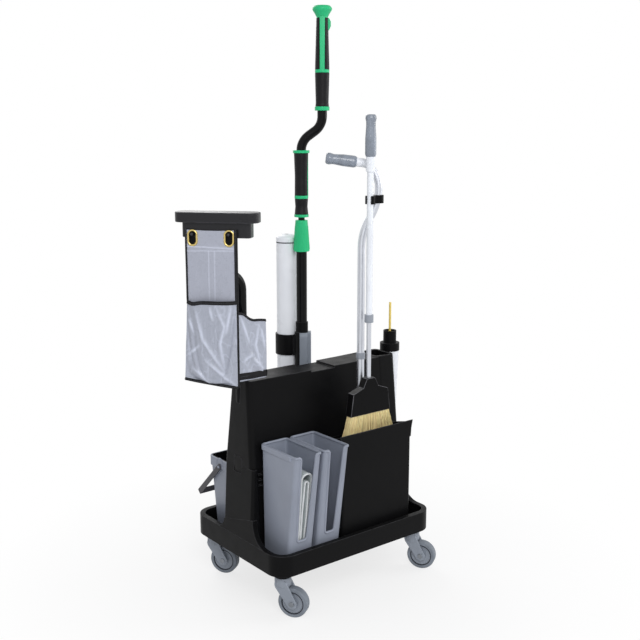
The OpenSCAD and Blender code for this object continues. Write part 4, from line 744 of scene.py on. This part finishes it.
def settled_pad(name, low, high, corner_r, most):
    """A thin pad that swells between its seams and lies flat where it rests."""
    inset, lift, cell, steps, around = 0.002, 0.001, 0.005, 20, 32
    half = Vector(((high.x - low.x) / 2 - inset, (high.y - low.y) / 2 - inset))
    middle = (low + high) / 2
    outline = []
    for k in range(around):
        a = 2 * math.pi * (k + 0.5) / around
        outline.append((
            middle.x + math.copysign(half.x - corner_r, math.cos(a)) + corner_r * math.cos(a),
            middle.y + math.copysign(half.y - corner_r, math.sin(a)) + corner_r * math.sin(a)))
    points = [(x, y, low.z + lift) for x, y in outline] + [(x, y, high.z - lift) for x, y in outline]
    sides = [(k, (k + 1) % around, around + (k + 1) % around, around + k) for k in range(around)]
    mesh = bpy.data.meshes.new(name)
    mesh.from_pydata(points, [], sides + [tuple(range(around))[::-1], tuple(range(around, 2 * around))])
    piece = put(name, mesh)
    cells = piece.modifiers.new("cells", "REMESH")
    cells.mode = "VOXEL"
    cells.voxel_size = cell
    keep_shape(piece)
    start = [v.co.copy() for v in piece.data.vertices]
    swell = piece.modifiers.new("swell", "CLOTH")
    swell.settings.quality = 5
    swell.settings.use_pressure = True
    swell.settings.uniform_pressure_force = 4
    swell.settings.effector_weights.gravity = 0
    swell.point_cache.frame_end = steps
    run_cloth(piece, steps)
    hold_back(piece, start, most)
    for vertex in piece.data.vertices:
        vertex.co.z = min(max(vertex.co.z, low.z), high.z)
    smooth = piece.modifiers.new("smooth", "SUBSURF")
    smooth.levels = smooth.render_levels = 1
    keep_shape(piece)
    piece.data.shade_smooth()
    return piece


green = moulded_plastic("green plastic", paint(46, 188, 126), 0.32, edge=1.12, shine=0.2)
grip_black = soft_rubber("black grip rubber", paint(26, 26, 28), 0.42, shine=0.14)
tube_black = moulded_plastic("black enamelled tube", paint(9, 9, 10), 0.15, grain=300, shine=0.14)
panel_grey = moulded_plastic("grey side panel", paint(132, 139, 150), 0.45, shine=0.3)
pad_white = looped_fabric("mop microfibre", paint(214, 219, 224), 0.0016)
pad_low, pad_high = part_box("mop_pad")
mop_pad = settled_pad("mop_pad_soft", pad_low, pad_high, corner_r=0.018, most=0.004)
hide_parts("mop_pad")
dress(mop_pad, pad_white, "mop")
rounded_copy("mop_plate", 0.0012, green)
rounded_copy("mop_joint", 0.0012, black_plastic)
rounded_copy("mop_lower_tube", 0.0004, tube_black)
rounded_copy("mop_cradle", 0.0006, black_plastic)
rounded_copy("mop_side_panel", 0.0012, panel_grey)
side_low, side_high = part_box("mop_side_panel")
pole_x, pole_y = 0.048, 0.113
cover_r, cover_t = 0.0201, 0.0016
cover_first, cover_last = math.radians(-145), math.radians(-78)


def cover_at(u, v):
    """The panel's thin edge, wrapped round the front of the cradle's sleeve."""
    a = cover_first + (cover_last - cover_first) * u
    z = side_high.z + (side_low.z - side_high.z) * v
    return Vector((pole_x + cover_r * math.cos(a), pole_y + cover_r * math.sin(a), z))


panel_cover = sewn_sheet(
    "mop_panel_cover", 16, 8, cover_r * (cover_last - cover_first), side_high.z - side_low.z, cover_at)
thick_sheet(panel_cover, cover_t, levels=0)
dress(panel_cover, panel_grey, "mop")
rounded_copy("mop_bottle", 0.0012, white_plastic)
rounded_copy("mop_bottle_cap", 0.001, white_plastic)
rounded_copy("mop_collar", 0.001, green)
rounded_copy("mop_bent_tube", 0.0, tube_black)
rounded_copy("mop_mid_grip", 0.0008, green)
rounded_copy("mop_mid_pads", 0.0008, grip_black)
rounded_copy("mop_top_grip", 0.0012, green)
rounded_copy("mop_top_pads", 0.0008, grip_black)
rounded_copy("mop_trigger", 0.0012, green)
collar_low, collar_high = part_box("mop_collar")
collar_middle = (collar_low + collar_high) / 2
collar_foot_r = (collar_high.x - collar_low.x) / 2
collar_lean = math.atan2(0.004, 0.067)
rib_l, rib_sunk, rib_foot = 0.062, 0.0006, 0.005
grown(
    "mop_collar_ribs", bpy.data.meshes.new("rib feet"), {
        "Radius": collar_foot_r - rib_sunk, "Length": rib_l, "Lean": -collar_lean,
        "Place": (collar_middle.x, collar_middle.y, collar_low.z + rib_foot)},
    collar_ribs, green, frame["nodes"]["mop_collar"]["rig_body"])
cap_low, cap_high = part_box("mop_bottle_cap")
cap_middle = (cap_low + cap_high) / 2
upright = Matrix.Rotation(math.radians(-90), 4, "X")
# The ring in the cap's hole is dark rubber, painted shade for the hole; the ring under the cap is a dark
# joint.
for ring_name, ring_z, ring_outline in (
        ("mop_bottle_seam", cap_low.z,
         [(0.0255, -0.0002), (0.0281, -0.0002), (0.0281, 0.0021), (0.0255, 0.0021)]),
        ("mop_bottle_hole_shade", cap_high.z,
         [(0.0012, -0.004), (0.0044, -0.004), (0.0044, 0.0003), (0.0012, -0.001)])):
    turned_ring(
        ring_name, ring_outline, at_origin,
        Matrix.Translation((cap_middle.x, cap_middle.y, ring_z)) @ upright,
        seam_dark_and_hole_shade, frame["nodes"]["mop_bottle_cap"]["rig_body"])


# Mast
# A cranked black tube that swivels in the tower's left end, with a moulded handle plate on top
# and a hook block under it.

rounded_copy("mast", 0.0, tube_black)
# edge=3.0 paints the handle's rounded edges paler, partly as painted highlight.
handle_black = moulded_plastic("satin black plastic", paint(36, 36, 39), 0.3, edge=3.0, shine=0.22)
rounded_copy("handle", 0.002, handle_black)


# Bag
# A sewn bag in silvery coated fabric, its edges bound with black tape: a flat panel hung on the
# handle's pegs by two brass eyelets, a pocket on its front and a three-cornered sack behind it.

handle_middle = Vector((-0.27935, 0.004, 0.0))
handle_turn = math.radians(-50)
to_cart = Matrix.Translation(handle_middle) @ Matrix.Rotation(handle_turn, 4, "Z")
from_cart = to_cart.inverted()
ahead = (to_cart.to_3x3() @ Vector((0.0, -1.0, 0.0))).normalized()
bag_low, bag_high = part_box("bag")
panel_left, panel_right = -0.070, 0.050
panel_w = panel_right - panel_left
panel_h = bag_high.z - bag_low.z
panel_y = -0.0245
fabric_t = 0.0014


def settle(piece, cut, held, most, pressure=0.5, steps=34):
    """Lets a sheet that was cut a little large settle into folds, held at its sewn edges."""
    start = [v.co.copy() for v in piece.data.vertices]
    piece.shape_key_add(name="hung")
    flat = piece.shape_key_add(name="cut")
    for point, place in zip(flat.data, cut):
        point.co = place
    sewn = piece.vertex_groups.new(name="sewn")
    for index, weight in held.items():
        sewn.add([index], weight, "REPLACE")
    folds = piece.modifiers.new("folds", "CLOTH")
    cloth = folds.settings
    cloth.quality = 8
    cloth.mass = 0.25
    cloth.tension_stiffness = cloth.compression_stiffness = 40
    cloth.shear_stiffness = 20
    cloth.bending_stiffness = 0.5
    cloth.air_damping = 2
    cloth.vertex_group_mass = "sewn"
    cloth.rest_shape_key = flat
    cloth.use_pressure = True
    cloth.uniform_pressure_force = pressure
    folds.point_cache.frame_start = 1
    folds.point_cache.frame_end = steps
    run_cloth(piece, steps)
    hold_back(piece, start, most)


def sewn_points(columns, rows, last_loose, rim_hold):
    """How firmly each point of a sheet is held: fast at its sides and foot, less at its rim."""
    held = {}
    for k in range((columns + 1) * (rows + 1)):
        j, i = divmod(k, columns + 1)
        if i in (0, columns) or j > last_loose:
            held[k] = 1.0
        elif j == 0:
            held[k] = rim_hold
    return held


def gap_to_line(spot, line):
    """Distance of a spot from a bent line, and how far along the line that is, from 0 to 1."""
    lengths = [(b - a).length for a, b in zip(line, line[1:])]
    best, along, done = 1e9, 0.0, 0.0
    for a, b, length in zip(line, line[1:], lengths):
        t = max(0.0, min(1.0, (spot - a).dot(b - a) / length ** 2))
        gap = (spot - a.lerp(b, t)).length
        if gap < best:
            best, along = gap, (done + t * length) / sum(lengths)
        done += length
    return best, along


seam_hold = 0.006


def crumple(piece, columns, rows, size, folds):
    """Presses folds into a settled sheet. A fold is a bent line of (u, v), a height and a width."""
    mesh = piece.data
    crease_and_highlight = mesh.attributes.new("crease", "FLOAT", "POINT")
    lines = [
        ([Vector((u * size[0], v * size[1])) for u, v in line], height, width)
        for line, height, width in folds]
    facings = [v.normal.copy() for v in mesh.vertices]
    for index, vertex in enumerate(mesh.vertices):
        j, i = divmod(index, columns + 1)
        spot = Vector((size[0] * i / columns, size[1] * j / rows))
        lift, pale = 0.0, 0.0
        for line, height, width in lines:
            gap, along = gap_to_line(spot, line)
            taper = math.sin(math.pi * along) ** 0.6 if 0 < along < 1 else 0.0
            lift += height * taper * math.exp(-(gap / width) ** 2)
            pale = max(pale, taper * math.exp(-(gap / (0.6 * width)) ** 2))
        from_edge = min(spot.x, size[0] - spot.x, spot.y, size[1] - spot.y)
        hold = ease(0.0, seam_hold, from_edge)
        vertex.co += facings[index] * (lift * hold)
        # Each fold's crest is painted paler through the crease attribute: a painted highlight.
        crease_and_highlight.data[index].value = 0.9 * pale * hold


tape_outline = [
    (0.5, 0.22), (0.42, 0.5), (-0.42, 0.5), (-0.5, 0.22),
    (-0.5, -0.22), (-0.42, -0.5), (0.42, -0.5), (0.5, -0.22),
]


def taped(name, runs, finish, body):
    """Flat woven tape along each run of points. A run is points, facings, width and thickness."""
    shape = bmesh.new()
    for points, facings, width, thick in runs:
        rings = []
        for k, point in enumerate(points):
            onward = points[min(k + 1, len(points) - 1)] - points[max(k - 1, 0)]
            onward.normalize()
            side = onward.cross(facings[k]).normalized()
            face = side.cross(onward).normalized()
            rings.append([
                shape.verts.new(point + side * (a * width) + face * (b * thick))
                for a, b in tape_outline])
        for first, second in zip(rings, rings[1:]):
            join_rings(shape, first, second)
        shape.faces.new(rings[0][::-1])
        shape.faces.new(rings[-1])
    return drawn(name, shape, finish, body, crisp=50)


def weave_bands(tree, place, direction, thread):
    """Ribs across one direction, a thread apart."""
    return add_node(
        tree, "ShaderNodeTexWave", {"Vector": place, "Scale": 1 / (thread * 20)},
        bands_direction=direction).outputs["Fac"]


def coated_fabric(name, colour, thread, painted_vein_highlights=0.0):
    """Woven fabric with a thin shiny coat, painted paler along its creases, fold crests and fine lines as
    painted highlight, with some crease whitening.
    """
    finish, tree, shader, place = new_finish(name)
    cloth = add_node(tree, "ShaderNodeUVMap", uv_map="weave").outputs["UV"]
    cloud = speckle(tree, place, 22, detail=4)
    body = two_tone(tree, cloud, shade(colour, 0.97), shade(colour, 1.03))
    # Fine wandering lines are painted paler as painted highlight, with a matching bump.
    if painted_vein_highlights:
        wander = speckle(tree, place, 30, low=-1.0, detail=2, stretch=(1, 1, 0.4))
        ridge = add_node(tree, "ShaderNodeMath", {0: wander}, operation="ABSOLUTE")
        vein_highlight_mask = add_node(tree, "ShaderNodeMapRange", {
            "Value": ridge.outputs["Value"], "From Max": 0.11, "To Min": painted_vein_highlights, "To Max": 0.0})
        body = two_tone(tree, vein_highlight_mask.outputs["Result"], body, shade(colour, 1.6))
        raised(tree, shader, vein_highlight_mask.outputs["Result"], 0.0008, 0.4)
    # Creases and fold crests are painted paler: painted highlight, with some crease whitening on the panel.
    body = two_tone(tree, share_of(tree, "crease"), body, shade(colour, 1.7))
    wire(tree, shader, {
        "Base Color": body, "Roughness": speckle(tree, place, 90, 0.22, 0.38),
        "Coat Weight": 0.3, "Coat Roughness": 0.2})
    weave = times(tree, *(weave_bands(tree, cloth, way, thread) for way in ("X", "Y")))
    raised(tree, shader, weave, 0.00008, 0.5)
    raised(tree, shader, speckle(tree, place, 60, detail=2), 0.0002, 0.25)
    return finish


def woven_tape(name, colour, thread):
    """Webbing or thread: a ribbed weave, matt, with pale wear in patches."""
    finish, tree, shader, place = new_finish(name)
    edge_wear_and_highlight = speckle(tree, place, 45, detail=5)
    wire(tree, shader, {
        "Base Color": two_tone(tree, edge_wear_and_highlight, shade(colour, 0.8), shade(colour, 1.5)),
        "Roughness": speckle(tree, place, 120, 0.6, 0.8), "Specular IOR Level": 0.2})
    raised(tree, shader, weave_bands(tree, place, "Z", thread), 0.0002, 0.5)
    return finish


bag_silver = coated_fabric("silver coated fabric", paint(166, 170, 184), 0.0008)
bag_crumpled = coated_fabric("crumpled silver fabric", paint(164, 169, 183), 0.0008, painted_vein_highlights=0.34)
black_tape = woven_tape("black binding tape", paint(22, 22, 24), 0.001)

# The panel hangs flat. It keeps the creases it was packed with: two across, two down its middle.
fold_zs = (bag_high.z - 0.039, bag_high.z - 0.050)
mouth_z = bag_low.z + 0.204
crease_xs = (-0.016, -0.002)
eyelet_z = bag_high.z - 0.019
eyelet_xs = (-0.054, 0.034)
eyelet_long = 0.014
eyelet_hole_r = 0.0102
foot_rise = 0.016
foot_flare = 0.010
top_sag, panel_belly, panel_wave = 0.002, 0.0012, 0.0008
crease_high = 0.0009


def panel_at(u, v):
    """A place on the panel, u across it from the left and v down from its top."""
    low = ease(0.5, 1.0, v)
    x = panel_left + panel_w * u - foot_flare * (1 - u) * low
    z = bag_high.z - panel_h * v - top_sag * math.sin(math.pi * u) * (1 - ease(0.0, 0.2, v))
    z += foot_rise * (1 - u) * low * v
    belly = panel_belly * math.sin(math.pi * u) * ease(0.05, 0.4, v)
    wave = panel_wave * noise.noise(Vector((u * 3.0, v * 6.0, 1.7)))
    return to_cart @ Vector((x, panel_y - belly + wave, z))


def crease_share(x, z):
    """How sharply the panel is creased at a place on it."""
    slant = 0.05 * (x - panel_left)
    across = sum(
        strength * math.exp(-((z - level + slope * slant) / 0.0013) ** 2)
        for level, slope, strength in ((fold_zs[0], 0.6, 0.8), (fold_zs[1], -0.4, 0.5)))
    down = sum(math.exp(-((x - c) / 0.0012) ** 2) for c in crease_xs)
    below = 1 - ease(fold_zs[1] - 0.004, fold_zs[1] + 0.004, z)
    return min(1.0, across + 0.5 * down * below * ease(mouth_z - 0.02, mouth_z + 0.02, z))


panel_columns, panel_rows = 80, 200
bag_panel = sewn_sheet("bag_panel", panel_columns, panel_rows, panel_w, panel_h, panel_at)
shape = bmesh.new()
shape.from_mesh(bag_panel.data)
holes = []
for face in shape.faces:
    spot = from_cart @ face.calc_center_median()
    beyond = max(0.0, abs(spot.z - eyelet_z) - eyelet_long / 2)
    if any(math.hypot(spot.x - x, beyond) < eyelet_hole_r for x in eyelet_xs):
        holes.append(face)
bmesh.ops.delete(shape, geom=holes, context="FACES")
crease_and_highlight = shape.verts.layers.float.new("crease")
for vertex in shape.verts:
    spot = from_cart @ vertex.co
    # The crease value lifts the creases and also paints them paler in the finish, partly as painted
    # highlight.
    vertex[crease_and_highlight] = crease_share(spot.x, spot.z)
    vertex.co += ahead * (crease_high * vertex[crease_and_highlight])
shape.to_mesh(bag_panel.data)
shape.free()
thick_sheet(bag_panel, fabric_t, levels=0)
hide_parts("bag")
dress(bag_panel, bag_silver, "mast")

# The pocket is cut a little large and sewn down both sides and along its foot, so it bellies
# out, gapes at its left end and falls into slanting folds.
pocket_columns, pocket_rows = 56, 84
pocket_h = mouth_z - bag_low.z
pocket_deep = 0.021
pocket_off, pocket_dimple, pocket_gape = 0.003, 0.0007, 0.004
pocket_slack, pocket_drop = 1.09, 1.05


def pocket_at(u, v):
    """A place on the pocket, u across it from the left and v down from its mouth."""
    x = panel_left + panel_w * u - foot_flare * (1 - u) * v
    deep = pocket_deep * (0.6 + 0.4 * ease(0.0, 0.5, v)) * (1 - 0.8 * ease(0.86, 1.0, v))
    belly = 1 - abs(2 * u - 1) ** 3.0
    dimple = pocket_dimple * noise.noise(Vector((u * 5.0, v * 7.0, 3.1)))
    gape = pocket_gape * math.exp(-((u - 0.13) / 0.12) ** 2) * (1 - ease(0.0, 0.22, v))
    z = mouth_z - pocket_h * v + foot_rise * (1 - u) * v - gape
    return to_cart @ Vector((x, panel_y - pocket_off - deep * belly - 0.4 * gape + dimple, z))


bag_pocket = sewn_sheet("bag_pocket", pocket_columns, pocket_rows, panel_w, pocket_h, pocket_at)
pocket_cut = [
    Vector((
        panel_w * pocket_slack * (k % (pocket_columns + 1)) / pocket_columns, 0.0,
        -pocket_h * pocket_drop * (k // (pocket_columns + 1)) / pocket_rows))
    for k in range(len(bag_pocket.data.vertices))]
pocket_held = sewn_points(pocket_columns, pocket_rows, pocket_rows - 1, 0.85)
settle(bag_pocket, pocket_cut, pocket_held, 0.012)
pocket_folds = [
    (((0.18, 0.04), (0.36, 0.45), (0.80, 0.84)), 0.0036, 0.0055),
    (((0.60, 0.02), (0.78, 0.28), (0.70, 0.48), (0.77, 0.80)), 0.0032, 0.0049),
    (((0.48, 0.04), (0.56, 0.22)), 0.0026, 0.0044),
    (((0.90, 0.02), (0.80, 0.38)), 0.0026, 0.0044),
    (((0.38, 0.68), (0.70, 0.84), (0.99, 0.99)), 0.0034, 0.0052),
    (((0.02, 0.69), (0.30, 0.52)), 0.0026, 0.0047),
    (((0.05, 0.20), (0.18, 0.42)), 0.0024, 0.0044),
    (((0.12, 0.82), (0.52, 0.97)), 0.0026, 0.0047),
]
crumple(bag_pocket, pocket_columns, pocket_rows, (panel_w, pocket_h), pocket_folds)
pocket_rim = [bag_pocket.data.vertices[i].co.copy() for i in range(pocket_columns + 1)]
pocket_foot = [
    bag_pocket.data.vertices[pocket_rows * (pocket_columns + 1) + i].co.copy()
    for i in range(pocket_columns + 1)]
thick_sheet(bag_pocket, fabric_t)
dress(bag_pocket, bag_crumpled, "mast")

# The sack runs from the panel's right edge back along the tray and round to its left edge.
sack_side = 0.088
sack_front = -0.022
sack_columns, sack_rows = 96, 54
sack_top, sack_low = bag_high.z - 0.1957, bag_high.z - 0.3596
sack_wall = 0.86
sack_belly = 0.003
sack_slack = 1.06
sack_corner = Vector((
    panel_right + sack_side * math.cos(handle_turn), sack_front - sack_side * math.sin(handle_turn)))
sack_first = Vector((panel_right, sack_front))
sack_last = Vector((panel_left, sack_front))
back_side = (sack_last - sack_corner).length
sack_round = sack_side + back_side
sack_middle = (
    sack_side * sack_last + back_side * sack_first + panel_w * sack_corner) / (sack_round + panel_w)


def sack_plan(s):
    """The sack's wall in plan, s metres round from the panel's right edge."""
    if s < sack_side:
        return sack_first.lerp(sack_corner, s / sack_side)
    return sack_corner.lerp(sack_last, (s - sack_side) / back_side)


def sack_at(u, v):
    """A place on the sack, u round it from the panel's right edge and v down its cut."""
    s = u * sack_round
    near = 0.008
    plan = (sack_plan(max(0.0, s - near)) + sack_plan(min(sack_round, s + near))) / 2
    if u in (0.0, 1.0):
        plan = sack_plan(s)
    wall = min(1.0, v / sack_wall)
    out = (plan - sack_middle).normalized()
    round_off = ease(0.0, 0.12, u) * (1 - ease(0.88, 1.0, u))
    plan = plan + out * (sack_belly * math.sin(math.pi * wall) * round_off)
    closing = ease(sack_wall, 1.02, v)
    plan = plan.lerp(sack_middle, closing * 0.92)
    fall = 0.020 * ease(0.0, 0.05, s) + 0.008 * ease(0.05, 0.12, s)
    top = sack_top - fall * round_off
    z = top + (sack_low - top) * wall - 0.001 * closing
    return to_cart @ Vector((plan.x, plan.y, z))


sack_h = sack_top - sack_low
bag_sack = sewn_sheet("bag_sack", sack_columns, sack_rows, sack_round, sack_h, sack_at)
sack_centre = to_cart @ Vector((sack_middle.x, sack_middle.y, (sack_top + sack_low) / 2))
sack_cut = [sack_centre + (v.co - sack_centre) * sack_slack for v in bag_sack.data.vertices]
sack_held = sewn_points(sack_columns, sack_rows, 0.8 * sack_rows, 0.8)
settle(bag_sack, sack_cut, sack_held, 0.007, pressure=0.2)
side_share = sack_side / sack_round
sack_folds = [
    (((0.10 * side_share, 0.05), (0.36 * side_share, 0.36)), 0.0026, 0.0047),
    (((0.68 * side_share, 0.05), (0.54 * side_share, 0.36), (0.72 * side_share, 0.68)), 0.0032, 0.0049),
    (((0.74 * side_share, 0.12), (0.84 * side_share, 0.42)), 0.0024, 0.0042),
    (((0.16 * side_share, 0.62), (0.46 * side_share, 0.48)), 0.0024, 0.0044),
    (((0.48 * side_share, 0.56), (0.86 * side_share, 0.74)), 0.0026, 0.0047),
    (((0.52, 0.10), (0.60, 0.70)), 0.0026, 0.0055),
    (((0.78, 0.12), (0.70, 0.66)), 0.0026, 0.0055),
]
crumple(bag_sack, sack_columns, sack_rows, (sack_round, sack_h), sack_folds)


def sack_line(v):
    """Points round the sack's wall at one height of its cut, with the way the wall faces."""
    row = round(v * sack_rows)
    wide = sack_columns + 1
    points = [bag_sack.data.vertices[row * wide + i].co.copy() for i in range(wide)]
    facings = []
    for point in points:
        out = point - sack_centre
        out.z = 0.0
        facings.append(out.normalized())
    return points, facings


sack_rim, sack_rim_faces = sack_line(0.0)
sack_band, sack_band_faces = sack_line(0.79)
thick_sheet(bag_sack, fabric_t)
dress(bag_sack, bag_crumpled, "mast")

# Black tape binds the panel's edges, the pocket's mouth and foot and the sack's rim, and a wider
# band goes round the sack above its bottom. Each tape is sewn down with one row of stitches.
edge_rows = range(0, panel_rows + 1, 5)
left_rows = [j for j in edge_rows if j / panel_rows * panel_h < panel_h - pocket_h + 0.006]
left_edge = [panel_at(0.0, j / panel_rows) for j in left_rows]
right_edge = [panel_at(1.0, j / panel_rows) for j in edge_rows]
band_line = [p + f * 0.0012 for p, f in zip(sack_band, sack_band_faces)]
tape_runs = [
    (left_edge, [ahead] * len(left_edge), 0.005, 0.004),
    (right_edge, [ahead] * len(right_edge), 0.008, 0.006),
    (pocket_rim, [ahead] * len(pocket_rim), 0.009, 0.0032),
    (pocket_foot, [ahead] * len(pocket_foot), 0.007, 0.0045),
    (sack_rim, sack_rim_faces, 0.006, 0.0034),
    (band_line, sack_band_faces, 0.016, 0.0026),
]
bag_binding = taped("bag_binding", tape_runs, black_tape, "mast")


def stitch_row(tree, given):
    """Short threads laid end to end along a line, with a gap after each."""
    line = add_node(tree, "GeometryNodeMeshToCurve", {"Mesh": given["Geometry"]})
    marks = add_node(tree, "GeometryNodeResampleCurve", {
        "Curve": line.outputs["Curve"], "Length": given["Pitch"]}, mode="LENGTH")
    onward = add_node(tree, "GeometryNodeInputTangent")
    turn = add_node(tree, "FunctionNodeAlignRotationToVector", {
        "Vector": onward.outputs["Tangent"]}, axis="Z")
    thread = add_node(tree, "GeometryNodeMeshCylinder", {
        "Vertices": 6, "Radius": given["Thread"], "Depth": given["Stitch"]})
    return add_node(tree, "GeometryNodeInstanceOnPoints", {
        "Points": marks.outputs["Curve"], "Instance": thread.outputs["Mesh"],
        "Rotation": turn.outputs["Rotation"]}).outputs["Instances"]


stitch_points, stitch_edges = [], []
for points, facings, width, thick in tape_runs:
    first = len(stitch_points)
    stitch_points += [p + f * (thick / 2) for p, f in zip(points, facings)]
    stitch_edges += [(k, k + 1) for k in range(first, len(stitch_points) - 1)]
stitch_mesh = bpy.data.meshes.new("stitch lines")
stitch_mesh.from_pydata(stitch_points, stitch_edges, [])
thread_grey = woven_tape("grey thread", paint(70, 72, 78), 0.0006)
bag_stitches = grown(
    "bag_stitches", stitch_mesh, {"Pitch": 0.0042, "Stitch": 0.0029, "Thread": 0.00035},
    stitch_row, thread_grey, "mast")

# A black hook hangs from the handle's block behind each eyelet.
hook_y, hook_t, hook_half, hook_reach = -0.0212, 0.0024, 0.0105, 0.038
hook_runs = []
for x in eyelet_xs:
    ends = [to_cart @ Vector((x, hook_y, bag_high.z - z)) for z in (0.002, hook_reach)]
    hook_runs.append((ends, [ahead] * 2, 2 * hook_half, hook_t))
taped("bag_hooks", hook_runs, black_plastic, "mast")

# Each eyelet is a pressed brass ring, longer than wide, closed on the fabric.
brass = brushed_metal("brass", paint(206, 184, 118), 0.26, (1, 1, 1), streak=0.15)
eyelet_in, eyelet_out, eyelet_roll = 0.0080, 0.0128, 0.0019
eyelet_proud, eyelet_back = 0.0012, -0.0015
eyelet_outline = []
for k in range(9):
    a = math.pi * k / 8
    eyelet_outline.append((
        (eyelet_in + eyelet_out) / 2 - (eyelet_out - eyelet_in) / 2 * math.cos(a),
        eyelet_proud + eyelet_roll * math.sin(a)))
eyelet_outline += [(eyelet_out - 0.001, eyelet_back), (eyelet_in, eyelet_back)]
eyelets = turned_ring(
    "brass_eyelets", eyelet_outline, [(x, panel_y, eyelet_z) for x in eyelet_xs], to_cart, brass,
    "mast", stretch=eyelet_long)
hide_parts("bag_eyelets")


# Brush and holder
# A brush in a white moulded holder that hangs on the tower's right end. The holder's lid and
# neck are black, and the brush's yellow stick stands out of them.

def finish_above(piece, level, finish):
    """Gives the faces above a height their own finish."""
    piece.data.materials.append(finish)
    for face in piece.data.polygons:
        if min(piece.data.vertices[v].co.z for v in face.vertices) > level:
            face.material_index = len(piece.data.materials) - 1


yellow = moulded_plastic("yellow plastic", paint(232, 206, 110), 0.4, edge=1.1)
lid_z = 0.5545
brush_holder = rounded_copy("brush_holder", 0.0004, white_plastic)
finish_above(brush_holder, lid_z, black_plastic)
rounded_copy("brush", 0.0006, yellow)


# Studio
# A pale floor that fades into a white backdrop, broad soft lamps and the camera at the
# photograph's viewing angle.

def any_ray(tree, rays, kinds):
    """1 for a ray of any of these kinds."""
    seen = rays.outputs[kinds[0]]
    for kind in kinds[1:]:
        seen = combine(tree, "MAXIMUM", seen, rays.outputs[kind])
    return seen


floor_half = 12.0
floor_mesh = bpy.data.meshes.new("floor")
floor_mesh.from_pydata(
    [(x * floor_half, y * floor_half, 0.0) for x, y in ((-1, -1), (1, -1), (1, 1), (-1, 1))],
    [], [(0, 1, 2, 3)])
floor = put("floor", floor_mesh)
floor_finish, tree, shader, place = new_finish("studio floor")
wire(tree, shader, {
    "Base Color": paint(245, 245, 246), "Roughness": 0.9, "Specular IOR Level": 0.1})
glow = add_node(tree, "ShaderNodeEmission")
path = add_node(tree, "ShaderNodeLightPath")
seen = any_ray(tree, path, ("Is Camera Ray", "Is Glossy Ray"))
far = add_node(tree, "ShaderNodeVectorMath", {0: place}, operation="LENGTH")
fade = add_node(tree, "ShaderNodeMapRange", {
    "Value": far.outputs["Value"], "From Min": 0.25, "From Max": 0.9, "To Min": 0.74})
white = add_node(tree, "ShaderNodeMixShader", {
    "Fac": times(tree, seen, fade.outputs["Result"]),
    1: shader.outputs["BSDF"], 2: glow.outputs["Emission"]})
wire(tree, tree.nodes["Material Output"], {"Surface": white.outputs["Shader"]})
floor_mesh.materials.append(floor_finish)

world = bpy.data.worlds.new("studio")
bpy.context.scene.world = world
world.use_nodes = True
sky = world.node_tree
pure_white = (1.0, 1.0, 1.0, 1.0)
room = sky.nodes["Background"]
wire(sky, room, {"Color": pure_white, "Strength": 0.42})
backdrop = add_node(sky, "ShaderNodeBackground", {"Color": pure_white, "Strength": 1.0})
rays = add_node(sky, "ShaderNodeLightPath")
pick = add_node(sky, "ShaderNodeMixShader", {
    "Fac": any_ray(sky, rays, ("Is Camera Ray", "Is Glossy Ray", "Is Transmission Ray")),
    1: room.outputs["Background"], 2: backdrop.outputs["Background"]})
wire(sky, sky.nodes["World Output"], {"Surface": pick.outputs["Shader"]})

object_middle = Vector((0.0, 0.0, 0.6))
for lamp_name, spot, width, watts in (
        ("key lamp", (-1.5, -2.7, 2.6), 1.8, 66),
        ("side lamp", (2.6, -1.4, 1.6), 1.6, 26),
        ("back lamp", (0.6, 2.6, 2.4), 1.8, 30)):
    lamp = bpy.data.lights.new(lamp_name, "AREA")
    lamp.energy = watts
    lamp.size = width
    lamp_holder = put(lamp_name, lamp)
    lamp_holder.location = spot
    lamp_holder.rotation_euler = (object_middle - Vector(spot)).to_track_quat("-Z", "Y").to_euler()

camera = bpy.data.cameras.new("photograph")
camera.sensor_width = 36.0
camera.lens = 54.04
viewer = put("photograph", camera)
viewer.location = (-1.4807, -1.8939, 1.154)
viewer.rotation_euler = (math.radians(78.8), 0.0, math.radians(-38.4))
bpy.context.scene.camera = viewer
bpy.context.scene.view_settings.view_transform = "Standard"
